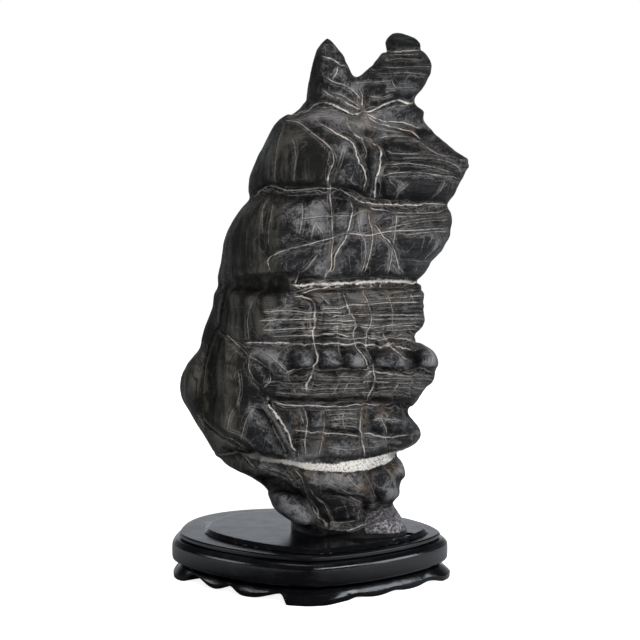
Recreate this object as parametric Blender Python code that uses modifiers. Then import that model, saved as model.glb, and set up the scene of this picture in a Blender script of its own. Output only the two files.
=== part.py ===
"""Scholar's rock: a dark, white-veined stone standing in a black lacquered wooden stand.

The viewer stands at -Y, +X is to the right, the floor is Z = 0.
Sizes are in millimetres, and MM turns them into metres.
"""
import math

import bmesh
import bpy
import numpy as np
from mathutils import Matrix

MM = 0.001
GAP = 0.3

# Heights of the stand's boards
APRON_TOP = 14.9
SLAB_BOTTOM = APRON_TOP + GAP
SLAB_TOP = 37.2
TIER_BOTTOM = SLAB_TOP + GAP
TIER_TOP = 41.5
PLATEAU_TOP = 45.7
SOCKET_FLOOR = 42.4

# Plan of the stand: centre, half width, depth to the front and back, roundness of each quarter
STAND_CENTRE = (-7.6, 4.0)
TIER_HALF_WIDTH = 122.4
TIER_FRONT = 92.5
TIER_BACK = 104.5
PLATEAU_CENTRE = (-1.5, 2.5)
PLATEAU_HALF = (102.5, 80.0)
# Exponents of the quarters: back right, back left, front left, front right
TIER_QUARTERS = (1.75, 2.7, 1.48, 1.44)
PLATEAU_QUARTERS = (1.75, 2.7, 1.39, 1.37)
OUTLINE_POINTS = 56
APRON_POINTS = 144

# Slab profile, bottom to top: height, and how far it stands out past the tier above
SLAB_PROFILE = [
    (SLAB_BOTTOM, 0.5),
    (15.8, 4.3),
    (17.6, 6.6),
    (21.0, 7.2),
    (31.0, 7.2),
    (33.6, 6.3),
    (35.8, 3.6),
    (SLAB_TOP, 0.2),
]

# Cove round the raised board, outside in: how far out from its edge, height above the tier
PLATEAU_COVE = [(4.5, 0.0), (1.8, 0.8), (0.2, 2.6)]
EDGE_ROUND = 1.0

# Apron profile from its top down: share of the height, outset of a lobe, extra outset at a foot
APRON_PROFILE = [
    (1.00, -8.0, 0.5),
    (0.84, -3.4, 2.5),
    (0.60, -0.4, 5.2),
    (0.32, 1.2, 7.4),
    (0.00, 0.8, 7.4),
]
APRON_THICKNESS = 12.0
LEFT_FOOT_FLARE = 0.6
RIGHT_FOOT_FLARE = 1.1
END_FOOT_FLARE = 1.0
# Where the flare of a foot ends or starts, as a share of the quarter, and over what share it fades
SIDE_FOOT_END = 0.19
SIDE_FOOT_FADE = 0.10
END_FOOT_START = 0.78
END_FOOT_FADE = 0.12

# Lower edge of the apron over one quarter, side foot to front or back foot:
# share of the way round the quarter, height above the floor
APRON_EDGE_LEFT = [
    (0.00, 0.0), (0.14, 0.0), (0.16, 2.0), (0.19, 6.5), (0.215, 9.3), (0.235, 9.8),
    (0.26, 9.3), (0.30, 7.5), (0.34, 4.5), (0.37, 2.6), (0.405, 1.8), (0.44, 2.2),
    (0.48, 4.3), (0.52, 7.0), (0.545, 8.4), (0.56, 5.5), (0.585, 1.4), (0.61, 0.8),
    (0.67, 0.8), (0.72, 1.8), (0.79, 5.2), (0.84, 8.4), (0.88, 9.6), (0.893, 0.0), (1.00, 0.0),
]
APRON_EDGE_RIGHT = [
    (0.00, 0.0), (0.105, 0.0), (0.14, 2.0), (0.17, 2.8), (0.20, 2.2), (0.235, 1.0),
    (0.27, 0.3), (0.33, 0.0), (0.40, 0.8), (0.44, 2.3), (0.465, 2.6), (0.49, 1.7),
    (0.53, 0.4), (0.59, 0.0), (0.64, 0.8), (0.69, 2.2), (0.725, 2.4), (0.74, 1.6),
    (0.755, 0.0), (1.00, 0.0),
]

# Stone: outline seen from the front, as (height, x), from the foot up
STONE_LEFT = [
    (40, -26), (50, -28), (58, -35), (66, -42), (72, -46), (78, -51), (84, -55), (91, -65),
    (96, -76), (101, -89), (106, -95), (112, -98), (124, -104), (139, -114), (154, -122),
    (164, -127), (176, -128), (187, -125), (198, -119), (206, -113), (212, -110), (229, -106),
    (250, -98), (271, -96), (291, -90), (310, -87), (321, -83), (334, -76), (343, -69),
    (349, -65), (354, -66), (369, -64), (390, -56), (408, -46), (418, -42), (425, -34),
    (430, -22), (438, -13), (447, 2),
]
STONE_RIGHT = [
    (40, 83.5), (50, 79.5), (58, 75), (66, 71.5), (72, 73), (80, 77), (90, 76), (100, 79),
    (106, 76), (112, 73), (118, 79), (128, 94), (134, 96), (139, 93), (146, 87.5), (154, 85),
    (161, 89), (170, 98), (178, 106), (186, 109), (197, 113), (208, 103), (215, 96), (223, 92),
    (232, 97), (240, 99), (256, 97.5), (268, 95.5), (275, 93), (283, 99), (292, 105),
    (306, 114), (316, 119.5), (329, 122), (340, 119), (345, 118), (352, 123), (362, 127.5),
    (372, 134), (380, 137), (388, 131.5), (401, 113.5), (413, 101), (421, 95), (427, 98),
    (434, 90), (440, 82), (447, 62),
]
# The front edge where the left face meets the broad right face, as (height, x)
STONE_RIDGE = [
    (40, 12), (55, 10), (75, 2), (95, -12), (113, -18), (150, -20), (185, -12), (222, -6),
    (245, -8), (262, -20), (276, -22), (287, -8), (300, 7), (330, 10), (355, 10), (370, 8),
    (385, 2), (400, -2), (415, 10), (430, 27), (447, 36),
]
# How far the front edge and the back stand from the middle plane, as (height, depth)
STONE_FRONT = [
    (40, 37), (58, 38), (70, 41), (80, 46), (104, 50), (112, 46), (118, 52), (145, 56),
    (157, 53), (165, 57), (200, 61), (223, 56), (232, 59), (268, 57), (275, 52), (283, 59),
    (320, 62), (345, 57), (350, 53), (356, 60), (380, 58), (395, 51), (412, 38), (430, 25),
    (447, 11),
]
STONE_BACK = [
    (40, 34), (70, 38), (100, 46), (128, 52), (160, 50), (190, 57), (206, 54), (240, 51),
    (262, 57), (290, 54), (310, 59), (334, 54), (352, 51), (375, 55), (395, 48), (415, 36),
    (430, 27), (447, 11),
]
# The stone isn't straight: where its middle plane lies, as (height, y)
STONE_MIDDLE = [
    (40, 0), (90, 2), (150, 5), (220, 3), (300, -2), (370, -4), (410, 0), (447, 3),
]
# The left side lies further back than the ridge, and the right side a little forward
LEFT_SET_BACK = 9.0
RIGHT_SET_BACK = -4.0
STONE_QUARTERS = (2.2, 2.0, 1.7, 2.7)
STONE_SEGMENTS = 96
RING_SPACING = 4.0

# Surface of the stone: size of the first even mesh, and triangles left in the finished one
EVEN_MESH_STEP = 3.0
SMOOTHING_FACTOR = 0.5
SMOOTHING_PASSES = 2
STONE_TRIANGLES = 5900
# Heights on the stone are counted from a foot cut flat at this height, and the cut stone
# is then lifted to stand a gap above the socket's floor
FOOT_CUT = 40.0
STONE_LIFT = SOCKET_FLOOR + GAP - FOOT_CUT

# Joints and creases: name, side, half width, depth, (x, height) along it
FRONT = -1
BACK = 1
# A point that faces straight sideways belongs to a side by this share, and how fast that grows
SIDE_SHARE = 0.45
SIDE_GAIN = 1.6
# The foot is left smooth up to this height, and the relief grows over this height above it
PLAIN_FOOT = 44.0
PLAIN_FADE = 6.0
CREASES = [
    ("upper bed joint", FRONT, 5.0, 5.0,
     [(-64, 349), (-55, 353), (-42, 359), (-24, 356), (10, 355), (28, 352), (44, 345), (116, 343)]),
    ("second joint", FRONT, 4.0, 2.0,
     [(-45, 296), (-32, 302), (-6, 310), (26, 318), (64, 321), (118, 322)]),
    ("middle bed joint", FRONT, 4.0, 5.0, [(-96, 270), (-60, 274), (-24, 275), (92, 275)]),
    ("joint above the cells", FRONT, 3.5, 2.5, [(-63, 219), (-16, 222), (93, 221)]),
    ("joint below the cells", FRONT, 3.5, 3.0, [(-32, 193), (-16, 195), (76, 195), (108, 192)]),
    ("lower bed joint", FRONT, 4.5, 4.5, [(-70, 168), (-31, 166), (37, 167), (60, 163), (84, 154)]),
    ("slot", FRONT, 4.0, 3.5, [(-24, 144), (8, 141), (39, 138), (60, 140), (86, 136)]),
    ("white band joint", FRONT, 4.5, 4.5,
     [(-92, 104), (-56, 115), (-13, 113), (29, 113), (59, 118), (74, 112)]),
    ("foot joint", FRONT, 4.0, 3.5, [(78, 74), (57, 66), (42, 59), (25, 52), (5, 48)]),
    ("saddle", FRONT, 5.0, 4.5, [(-21, 427), (4, 432), (30, 426), (43, 424), (63, 431), (87, 436)]),
    ("edge of the left face", FRONT, 4.5, 2.5,
     [(-31, 421), (-16, 417), (2, 401), (11, 383), (11, 357)]),
    ("shoulder crease", FRONT, 4.0, 2.5,
     [(-15, 419), (3, 412), (23, 406), (32, 399), (36, 388), (41, 363)]),
    ("torso crease", FRONT, 4.0, 4.0, [(44, 424), (49, 402), (56, 390), (53, 369), (49, 347)]),
    ("block crease", FRONT, 4.0, 2.5,
     [(28, 351), (30, 340), (24, 313), (16, 299), (5, 276)]),
    ("long crease, top", FRONT, 4.0, 3.0,
     [(-24, 269), (-13, 262), (-5, 250), (-4, 224), (-2, 199), (-10, 177)]),
    ("long crease, foot", FRONT, 4.0, 2.5, [(-10, 177), (-15, 165), (-11, 144), (-11, 119)]),
    ("second long crease", FRONT, 4.0, 3.0,
     [(18, 261), (27, 250), (31, 224), (41, 208), (48, 190), (44, 167), (40, 120)]),
    ("open crack", FRONT, 3.5, 5.0, [(59, 225), (66, 218), (81, 205), (86, 196)]),
    ("upper strap crease", FRONT, 3.5, 4.5, [(-46, 170), (-41, 161), (-30, 145), (-17, 117)]),
    ("lower strap crease", FRONT, 3.5, 4.5,
     [(-58, 161), (-46, 149), (-37, 134), (-26, 117), (-13, 86), (2, 60)]),
    ("crack beside the left lobe", FRONT, 5.0, 8.0,
     [(-86, 257), (-91, 232), (-97, 219), (-101, 200), (-103, 172), (-104, 144)]),
    ("line to the leaf", FRONT, 3.5, 2.5, [(-91, 232), (-78, 221), (-63, 208), (-47, 190)]),
    ("underside edge", FRONT, 4.0, 4.0, [(-104, 144), (-88, 133), (-63, 121), (-54, 112)]),
    ("toe outline", FRONT, 3.5, 4.5, [(-48, 90), (-30, 86), (-12, 78), (4, 62), (4, 48)]),
    ("back upper joint", BACK, 5.0, 5.0, [(-62, 350), (-10, 354), (60, 346), (118, 345)]),
    ("back middle joint", BACK, 4.5, 6.0, [(-96, 268), (-30, 278), (40, 271), (94, 275)]),
    ("back third joint", BACK, 4.0, 3.5, [(-112, 212), (-40, 224), (30, 215), (92, 223)]),
    ("back lower joint", BACK, 4.5, 5.0, [(-118, 154), (-50, 161), (20, 151), (85, 154)]),
    ("back band joint", BACK, 4.5, 5.0, [(-92, 106), (-30, 112), (30, 115), (74, 112)]),
    ("back long crease", BACK, 4.0, 4.5,
     [(44, 424), (36, 390), (30, 350), (44, 300), (34, 250), (52, 190), (40, 130), (54, 66)]),
    ("back second crease", BACK, 4.0, 4.5,
     [(-8, 420), (-34, 392), (-42, 350), (-30, 290), (-50, 230), (-38, 180), (-58, 126)]),
    ("back short crease", BACK, 3.5, 3.5, [(84, 340), (76, 300), (62, 276)]),
]

# Lumps and hollows: name, x, height, half width, half height, how far they stand out
FRONT_FORMS = [
    ("upper torso bulge", -16, 386, 30, 24, 4.5),
    ("hollow in the left face", -30, 372, 20, 20, -2.5),
    ("shoulder below the left horn", 14, 412, 16, 10, 3.0),
    ("hollow under the right horn", 72, 418, 24, 12, -5.0),
    ("torso block", 36, 386, 18, 22, 2.5),
    ("ledge to the upper nose", 108, 386, 34, 6, 4.0),
    ("hollow above the upper joint", 92, 364, 28, 8, -3.0),
    ("second bulge", -38, 318, 30, 26, 3.5),
    ("front block", 22, 326, 16, 16, 2.5),
    ("corner block", 84, 318, 22, 20, 3.5),
    ("hollow over the joint", 96, 290, 24, 8, -3.5),
    ("overhang", -50, 286, 32, 9, -4.0),
    ("overhang recess", -56, 274, 30, 7, -9.0),
    ("shelf below the recess", -56, 256, 32, 9, 3.5),
    ("bar below the joint", 70, 262, 40, 8, 2.5),
    ("crack beside the left lobe, top", -98, 224, 6, 16, -6.0),
    ("crack beside the left lobe, foot", -102, 184, 6, 26, -8.0),
    ("left lobe", -119, 182, 10, 24, 4.0),
    ("front of the left lobe", -82, 206, 10, 22, 3.0),
    ("leaf shaped hollow", -58, 205, 11, 14, -2.5),
    ("side hollow", -74, 176, 22, 8, -6.0),
    ("cell one", -6, 205, 11, 9, 3.5),
    ("cell two", 22, 205, 10, 9, 3.5),
    ("cell three", 44, 206, 8, 9, 3.5),
    ("cell four", 68, 205, 10, 9, 4.5),
    ("cell five", 96, 203, 10, 9, 4.5),
    ("hollow between cells four and five", 83, 212, 6, 10, -3.0),
    ("belly lump left", -4, 140, 20, 12, 3.0),
    ("belly lump middle", 36, 138, 18, 12, 3.0),
    ("belly lump right", 76, 137, 14, 9, 4.0),
    ("strap, top", -48, 154, 8, 11, 4.0),
    ("strap, foot", -32, 130, 8, 12, 4.0),
    ("hollow behind the strap", -64, 138, 10, 18, -4.0),
    ("hollow under the left side", -74, 112, 16, 8, -5.0),
    ("lower right lobe", 58, 88, 17, 13, 6.0),
    ("lower right knob", 74, 102, 8, 7, 4.0),
    ("lump below the white band", 6, 96, 18, 9, 3.0),
    ("toe, top", -42, 80, 12, 8, 5.0),
    ("toe, middle", -26, 68, 12, 8, 6.5),
    ("toe, tip", -10, 57, 12, 8, 8.0),
    ("hollow right of the toe", 18, 66, 12, 12, -5.0),
    ("hollow over the foot point", 50, 66, 14, 6, -4.0),
    ("foot point", 56, 52, 18, 7, 4.0),
]
BACK_FORMS = [
    ("back shoulder", 34, 392, 34, 18, 6.0),
    ("back hollow high", -24, 352, 24, 12, -7.0),
    ("back rib", 70, 330, 20, 34, 7.0),
    ("back slab", -44, 302, 26, 16, 6.0),
    ("back cleft high", 22, 330, 9, 26, -6.0),
    ("back hollow middle", 26, 280, 24, 10, -7.0),
    ("back boss", -14, 246, 34, 14, 6.0),
    ("back side hollow", 70, 238, 20, 14, -6.0),
    ("back left rib", -90, 206, 16, 28, 7.0),
    ("back lump low", 36, 196, 30, 14, 7.0),
    ("back cleft", -34, 170, 9, 34, -8.0),
    ("back belly", 54, 138, 26, 12, 5.0),
    ("back hollow side", -70, 146, 18, 14, -5.0),
    ("back heel", -34, 98, 24, 12, 5.0),
    ("back hollow low", 24, 82, 18, 12, -6.0),
    ("back foot lump", 54, 60, 18, 8, 4.0),
]

# Horns: height, left, right, front depth, back depth
LEFT_HORN = [
    (404, -22, 34, 27, 26),
    (424, -17, 38, 25, 25),
    (438, -12, 38, 24, 24),
    (450, -11.5, 35, 22, 22),
    (460, -9.5, 31.5, 19, 19),
    (468, -8, 27.6, 18, 17),
    (476, -6, 25, 15, 13),
    (484, -3, 19.2, 11, 11),
    (490.5, 1, 14.5, 7, 7),
    (495.5, 6, 11, 2.5, 2.5),
]
LEFT_HORN_RIDGE = 11.0
RIGHT_HORN = [
    (408, 10, 84, 24, 26),
    (426, 12, 86, 25, 26),
    (438, 15, 87, 25, 26),
    (446, 22, 93.5, 26, 26),
    (453, 29, 98.5, 24, 24),
    (460, 36, 102.5, 24, 26),
    (468, 43.5, 104, 23, 23),
    (475, 51, 102, 20, 22),
    (481, 56.5, 96.5, 20, 19),
    (484.5, 56, 93, 17, 16),
    (489, 57, 94.5, 18.5, 17),
    (494, 60, 88, 14, 13),
    (497.8, 64.5, 79, 8, 7),
    (499.3, 68.5, 73.5, 3, 3),
]
RIGHT_HORN_RIDGE = 62.0
HORN_QUARTERS = (1.9, 2.1, 1.6, 1.75)
HORN_SEGMENTS = 48
HORN_FORMS = [
    ("left horn hollow", -4, 462, 10, 14, -2.5),
    ("left horn face", 22, 462, 9, 16, 1.5),
    ("left horn foot", 6, 438, 16, 7, 3.0),
    ("right horn neck", 62, 484, 26, 2.5, -2.0),
    ("right horn block", 84, 468, 16, 9, 3.0),
    ("right horn hollow", 46, 452, 14, 8, -3.0),
    ("right horn lower bar", 66, 446, 26, 5, 2.5),
]

# The socket: how far it stands clear of the stone's foot, on its left and its right
SOCKET_CLEAR = 3.0
SOCKET_CLEAR_RIGHT = 8.0

# Edges sharper than this stay sharp, in degrees
SHARP_ANGLE = 40.0

STONE_COLOUR = (0.045, 0.043, 0.042, 1.0)
LACQUER_COLOUR = (0.012, 0.012, 0.014, 1.0)


def clear_scene():
    """Remove whatever the file holds at the start."""
    for item in list(bpy.data.objects):
        bpy.data.objects.remove(item, do_unlink=True)


def make_collection(name):
    """Return a new collection linked to the scene."""
    collection = bpy.data.collections.new(name)
    bpy.context.scene.collection.children.link(collection)
    return collection


def make_material(name, colour, roughness):
    """Return a plain Principled material."""
    material = bpy.data.materials.new(name)
    material.use_nodes = True
    shader = material.node_tree.nodes["Principled BSDF"]
    shader.inputs["Base Color"].default_value = colour
    shader.inputs["Roughness"].default_value = roughness
    shader.inputs["Metallic"].default_value = 0.0
    return material


def signed_power(value, power):
    """Raise the size of a number to a power and keep its sign."""
    return math.copysign(abs(value) ** power, value)


def quarter_outline(centre, left, right, front, back, quarters, count):
    """Return points of a closed outline made of four superellipse quarters."""
    points = []
    for index in range(count):
        angle = 2.0 * math.pi * (index + 0.5) / count
        quarter = int(angle // (math.pi / 2.0))
        power = 2.0 / quarters[quarter]
        reach_x = right if math.cos(angle) > 0 else left
        reach_y = back if math.sin(angle) > 0 else front
        x = centre[0] + reach_x * signed_power(math.cos(angle), power)
        y = centre[1] + reach_y * signed_power(math.sin(angle), power)
        points.append((x, y))
    return np.array(points)


def outline_normals(outline):
    """Return outward unit vectors of a closed outline that runs anticlockwise."""
    tangent = np.roll(outline, -1, axis=0) - np.roll(outline, 1, axis=0)
    normal = np.stack([tangent[:, 1], -tangent[:, 0]], axis=1)
    length = np.linalg.norm(normal, axis=1, keepdims=True)
    return normal / np.maximum(length, 1e-9)


def outset(outline, distance):
    """Move each point of an outline outwards by a distance."""
    return outline + outline_normals(outline) * distance


def at_height(outline, height):
    """Lift a flat outline to a height."""
    heights = np.full((len(outline), 1), height)
    return np.hstack([outline, heights])


def loft(name, rings, collection, material, closed_on_itself=False):
    """Bridge rings of equal point count into one closed object."""
    mesh = bpy.data.meshes.new(name)
    shape = bmesh.new()
    rows = [[shape.verts.new(point * MM) for point in ring] for ring in rings]
    pairs = list(zip(rows, rows[1:]))
    if closed_on_itself:
        pairs.append((rows[-1], rows[0]))
    for lower, upper in pairs:
        for index in range(len(lower)):
            after = (index + 1) % len(lower)
            shape.faces.new((lower[index], lower[after], upper[after], upper[index]))
    if not closed_on_itself:
        shape.faces.new(list(reversed(rows[0])))
        shape.faces.new(rows[-1])
    bmesh.ops.recalc_face_normals(shape, faces=shape.faces)
    shape.to_mesh(mesh)
    shape.free()
    mesh.shade_smooth()
    mesh.set_sharp_from_angle(angle=math.radians(SHARP_ANGLE))
    item = bpy.data.objects.new(name, mesh)
    item.data.materials.append(material)
    collection.objects.link(item)
    return item


def tier_outline(count):
    """Return the plan outline of the stand's flat tier."""
    return quarter_outline(STAND_CENTRE, TIER_HALF_WIDTH, TIER_HALF_WIDTH,
                           TIER_FRONT, TIER_BACK, TIER_QUARTERS, count)


def plateau_outline():
    """Return the plan outline of the raised middle board."""
    half_x, half_y = PLATEAU_HALF
    return quarter_outline(PLATEAU_CENTRE, half_x, half_x, half_y, half_y,
                           PLATEAU_QUARTERS, OUTLINE_POINTS)


def guide(curve, height):
    """Read a guide curve at a height."""
    heights = [point[0] for point in curve]
    values = [point[1] for point in curve]
    return float(np.interp(height, heights, values))


def stone_section(height, count):
    """Return the stone's plan outline at a height, before its lumps."""
    ridge = guide(STONE_RIDGE, height)
    left = ridge - guide(STONE_LEFT, height)
    right = guide(STONE_RIGHT, height) - ridge
    front = guide(STONE_FRONT, height)
    back = guide(STONE_BACK, height)
    outline = quarter_outline((ridge, 0.0), left, right, front, back, STONE_QUARTERS, count)
    toward_left = np.clip((ridge - outline[:, 0]) / left, 0.0, 1.0)
    toward_right = np.clip((outline[:, 0] - ridge) / right, 0.0, 1.0)
    outline[:, 1] += LEFT_SET_BACK * toward_left + RIGHT_SET_BACK * toward_right
    outline[:, 1] += guide(STONE_MIDDLE, height)
    return outline


def socket_outline():
    """Return the hollow for the foot, wider on its right."""
    foot = stone_section(PLATEAU_TOP - STONE_LIFT, OUTLINE_POINTS)
    hollow = outset(foot, SOCKET_CLEAR)
    middle = foot[:, 0].mean()
    share = np.clip((foot[:, 0] - middle) / (foot[:, 0].max() - middle), 0.0, 1.0)
    hollow[:, 0] += share ** 2 * (SOCKET_CLEAR_RIGHT - SOCKET_CLEAR)
    return hollow


def build_slab(collection, material):
    """The thick moulded board with round edges."""
    outline = tier_outline(OUTLINE_POINTS)
    rings = [at_height(outset(outline, out), height) for height, out in SLAB_PROFILE]
    return loft("stand_slab", rings, collection, material)


def build_top(collection, material):
    """The flat tier with the raised board and the socket carved in it."""
    tier = tier_outline(OUTLINE_POINTS)
    plateau = plateau_outline()
    socket = socket_outline()
    rings = [
        at_height(tier, TIER_BOTTOM),
        at_height(tier, TIER_TOP - EDGE_ROUND),
        at_height(outset(tier, -EDGE_ROUND), TIER_TOP),
    ]
    rings += [at_height(outset(plateau, out), TIER_TOP + rise) for out, rise in PLATEAU_COVE]
    rings += [
        at_height(outset(plateau, -EDGE_ROUND), PLATEAU_TOP),
        at_height(outset(socket, EDGE_ROUND), PLATEAU_TOP),
        at_height(socket, PLATEAU_TOP - EDGE_ROUND),
        at_height(socket, SOCKET_FLOOR),
    ]
    return loft("stand_top", rings, collection, material)


def apron_edge(share, left_side):
    """Height of the apron's lower edge, at a share of the way from side foot to end foot."""
    pattern = APRON_EDGE_LEFT if left_side else APRON_EDGE_RIGHT
    return guide(pattern, share)


def quarter_shares(outline):
    """Return, for each point, its share of the way from the side corner to the end corner."""
    count = len(outline)
    steps = np.linalg.norm(np.roll(outline, -1, axis=0) - outline, axis=1)
    quarter = count // 4
    shares = np.zeros(count)
    for start in range(0, count, quarter):
        run = steps[start:start + quarter]
        along = (np.cumsum(run) - run / 2.0) / run.sum()
        starts_at_side = (start // quarter) % 2 == 0
        shares[start:start + quarter] = along if starts_at_side else 1.0 - along
    return shares


def build_apron(collection, material):
    """The scalloped skirt that ends in four scroll feet."""
    outline = tier_outline(APRON_POINTS)
    normals = outline_normals(outline)
    shares = quarter_shares(outline)
    left_side = outline[:, 0] < STAND_CENTRE[0]
    lower = np.array([apron_edge(share, left) for share, left in zip(shares, left_side)])
    foot_flare = np.where(left_side, LEFT_FOOT_FLARE, RIGHT_FOOT_FLARE)
    side_foot = np.clip((SIDE_FOOT_END - shares) / SIDE_FOOT_FADE, 0.0, 1.0) * foot_flare
    end_foot = np.clip((shares - END_FOOT_START) / END_FOOT_FADE, 0.0, 1.0) * END_FOOT_FLARE
    flare = side_foot + end_foot
    rings = []
    for share, out, extra in reversed(APRON_PROFILE):
        heights = lower + (APRON_TOP - lower) * share
        plan = outline + normals * (out + extra * flare)[:, None]
        rings.append(np.hstack([plan, heights[:, None]]))
    inner = outset(outline, APRON_PROFILE[0][1] - APRON_THICKNESS)
    rings.append(at_height(inner, APRON_TOP))
    rings.append(np.hstack([inner, lower[:, None]]))
    return loft("stand_apron", rings, collection, material, closed_on_itself=True)


def side_share(facing, side):
    """How fully a point belongs to the front or the back, from the way it faces."""
    return np.clip(SIDE_SHARE + SIDE_GAIN * side * facing, 0.0, 1.0)


def lumps_at(places, facing, forms, side):
    """Add up the lumps and hollows of one side at each point."""
    total = np.zeros(len(places))
    for _, x, height, half_width, half_height, push in forms:
        across = (places[:, 0] - x) / half_width
        up = (places[:, 2] - height) / half_height
        total += push * np.exp(-across ** 2 - up ** 2)
    return total * side_share(facing, side)


def distance_to_line(places, line):
    """Distance of each point, seen from the front, to a line of (x, height) points."""
    flat = places[:, [0, 2]]
    nearest = np.full(len(places), np.inf)
    for start, end in zip(line, line[1:]):
        start = np.array(start, float)
        run = np.array(end, float) - start
        share = np.clip((flat - start) @ run / (run @ run), 0.0, 1.0)
        nearest = np.minimum(nearest, np.linalg.norm(flat - start - share[:, None] * run, axis=1))
    return nearest


def creases_at(places, facing):
    """Depth of the joints and creases at each point."""
    total = np.zeros(len(places))
    for _, side, half_width, depth, line in CREASES:
        near = np.exp(-(distance_to_line(places, line) / half_width) ** 2)
        total = np.maximum(total, depth * near * side_share(facing, side))
    return total


def raise_relief(item):
    """Push each point of the stone out or in by its lumps and creases."""
    mesh = item.data
    count = len(mesh.vertices)
    places = np.zeros(count * 3)
    mesh.vertices.foreach_get("co", places)
    places = places.reshape(-1, 3) / MM
    normals = np.zeros(count * 3)
    mesh.vertices.foreach_get("normal", normals)
    normals = normals.reshape(-1, 3)
    facing = normals[:, 1]
    push = lumps_at(places, facing, FRONT_FORMS + HORN_FORMS, FRONT)
    push += lumps_at(places, facing, BACK_FORMS, BACK)
    push -= creases_at(places, facing)
    foot_free = np.clip((places[:, 2] - PLAIN_FOOT) / PLAIN_FADE, 0.0, 1.0)
    moved = places + normals * (push * foot_free)[:, None]
    mesh.vertices.foreach_set("co", (moved * MM).ravel())
    mesh.update()


def heights_between(lowest, highest, spacing):
    """Return evenly spaced heights that include both ends."""
    count = max(2, round((highest - lowest) / spacing) + 1)
    return np.linspace(lowest, highest, count)


def stone_body_rings():
    """Return the sections of the stone from below its foot to the saddle between the horns."""
    lowest = FOOT_CUT - 2.0 * EVEN_MESH_STEP
    heights = heights_between(lowest, STONE_LEFT[-1][0], RING_SPACING)
    return [at_height(stone_section(height, STONE_SEGMENTS), height) for height in heights]


def horn_rings(levels, ridge):
    """Return the sections of one horn."""
    table = np.array(levels, float)
    rings = []
    for height in heights_between(table[0, 0], table[-1, 0], RING_SPACING / 2.0):
        left, right, front, back = [np.interp(height, table[:, 0], table[:, column])
                                    for column in range(1, 5)]
        margin = (right - left) / 4.0
        middle = min(max(ridge, left + margin), right - margin)
        outline = quarter_outline((middle, 0.0), middle - left, right - middle, front, back,
                                  HORN_QUARTERS, HORN_SEGMENTS)
        rings.append(at_height(outline, height))
    return rings


def apply_modifiers(item):
    """Replace an object's mesh by its evaluated one."""
    graph = bpy.context.evaluated_depsgraph_get()
    finished = bpy.data.meshes.new_from_object(item.evaluated_get(graph))
    item.modifiers.clear()
    item.data = finished


def merge_shapes(target, others):
    """Pour several overlapping closed shapes into the target's mesh."""
    shape = bmesh.new()
    for item in [target] + others:
        shape.from_mesh(item.data)
    shape.to_mesh(target.data)
    shape.free()
    for item in others:
        bpy.data.objects.remove(item, do_unlink=True)


def even_out(item):
    """Turn overlapping shapes into one even, smooth skin."""
    remesh = item.modifiers.new("even", "REMESH")
    remesh.mode = "VOXEL"
    remesh.voxel_size = EVEN_MESH_STEP * MM
    smooth = item.modifiers.new("smooth", "SMOOTH")
    smooth.factor = SMOOTHING_FACTOR
    smooth.iterations = SMOOTHING_PASSES
    apply_modifiers(item)


def thin_out(item):
    """Keep most triangles where the surface bends most."""
    item.data.calc_loop_triangles()
    decimate = item.modifiers.new("thin", "DECIMATE")
    decimate.ratio = STONE_TRIANGLES / len(item.data.loop_triangles)
    decimate.use_collapse_triangulate = True
    apply_modifiers(item)


def cut_foot(item):
    """Cut the foot flat and close it."""
    shape = bmesh.new()
    shape.from_mesh(item.data)
    everything = shape.verts[:] + shape.edges[:] + shape.faces[:]
    bmesh.ops.bisect_plane(shape, geom=everything, dist=1e-6, plane_co=(0, 0, FOOT_CUT * MM),
                           plane_no=(0, 0, 1), clear_inner=True)
    rim = [edge for edge in shape.edges if edge.is_boundary]
    bmesh.ops.contextual_create(shape, geom=rim)
    bmesh.ops.recalc_face_normals(shape, faces=shape.faces)
    shape.to_mesh(item.data)
    shape.free()
    item.data.transform(Matrix.Translation((0, 0, STONE_LIFT * MM)))
    item.data.shade_smooth()


def build_stone(collection, material):
    """The rock: a veined slab of stone with two horns, one solid."""
    stone = loft("stone", stone_body_rings(), collection, material)
    left_horn = loft("left_horn", horn_rings(LEFT_HORN, LEFT_HORN_RIDGE), collection, material)
    right_horn = loft("right_horn", horn_rings(RIGHT_HORN, RIGHT_HORN_RIDGE),
                      collection, material)
    merge_shapes(stone, [left_horn, right_horn])
    even_out(stone)
    raise_relief(stone)
    thin_out(stone)
    cut_foot(stone)
    return stone


def centre_on_origin(items):
    """Move the whole so that the middle of its bounding box stands over the origin."""
    places = np.array([point.co for item in items for point in item.data.vertices])
    middle = (places.min(axis=0) + places.max(axis=0)) / 2.0
    for item in items:
        item.data.transform(Matrix.Translation((-middle[0], -middle[1], 0.0)))


def main():
    """Build the stone and its stand."""
    clear_scene()
    collection = make_collection("scholars_rock")
    stone_material = make_material("dark_stone", STONE_COLOUR, 0.55)
    lacquer = make_material("black_lacquer", LACQUER_COLOUR, 0.3)
    centre_on_origin([
        build_apron(collection, lacquer),
        build_slab(collection, lacquer),
        build_top(collection, lacquer),
        build_stone(collection, stone_material),
    ])


main()
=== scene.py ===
# %% [markdown]
# # A scholar's rock on its carved stand
# The object is an upright slab of dark limestone, crossed by pale veins, that rests in the
# socket of a low black stand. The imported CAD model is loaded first, as a fixed frame: it has the
# right sizes and places, and each piece below is dressed around it. Everything is in metres,
# with +Z up, and the stone's veined face looks along -Y, towards the camera.

# %% Load the frame
import math
from itertools import product

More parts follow.
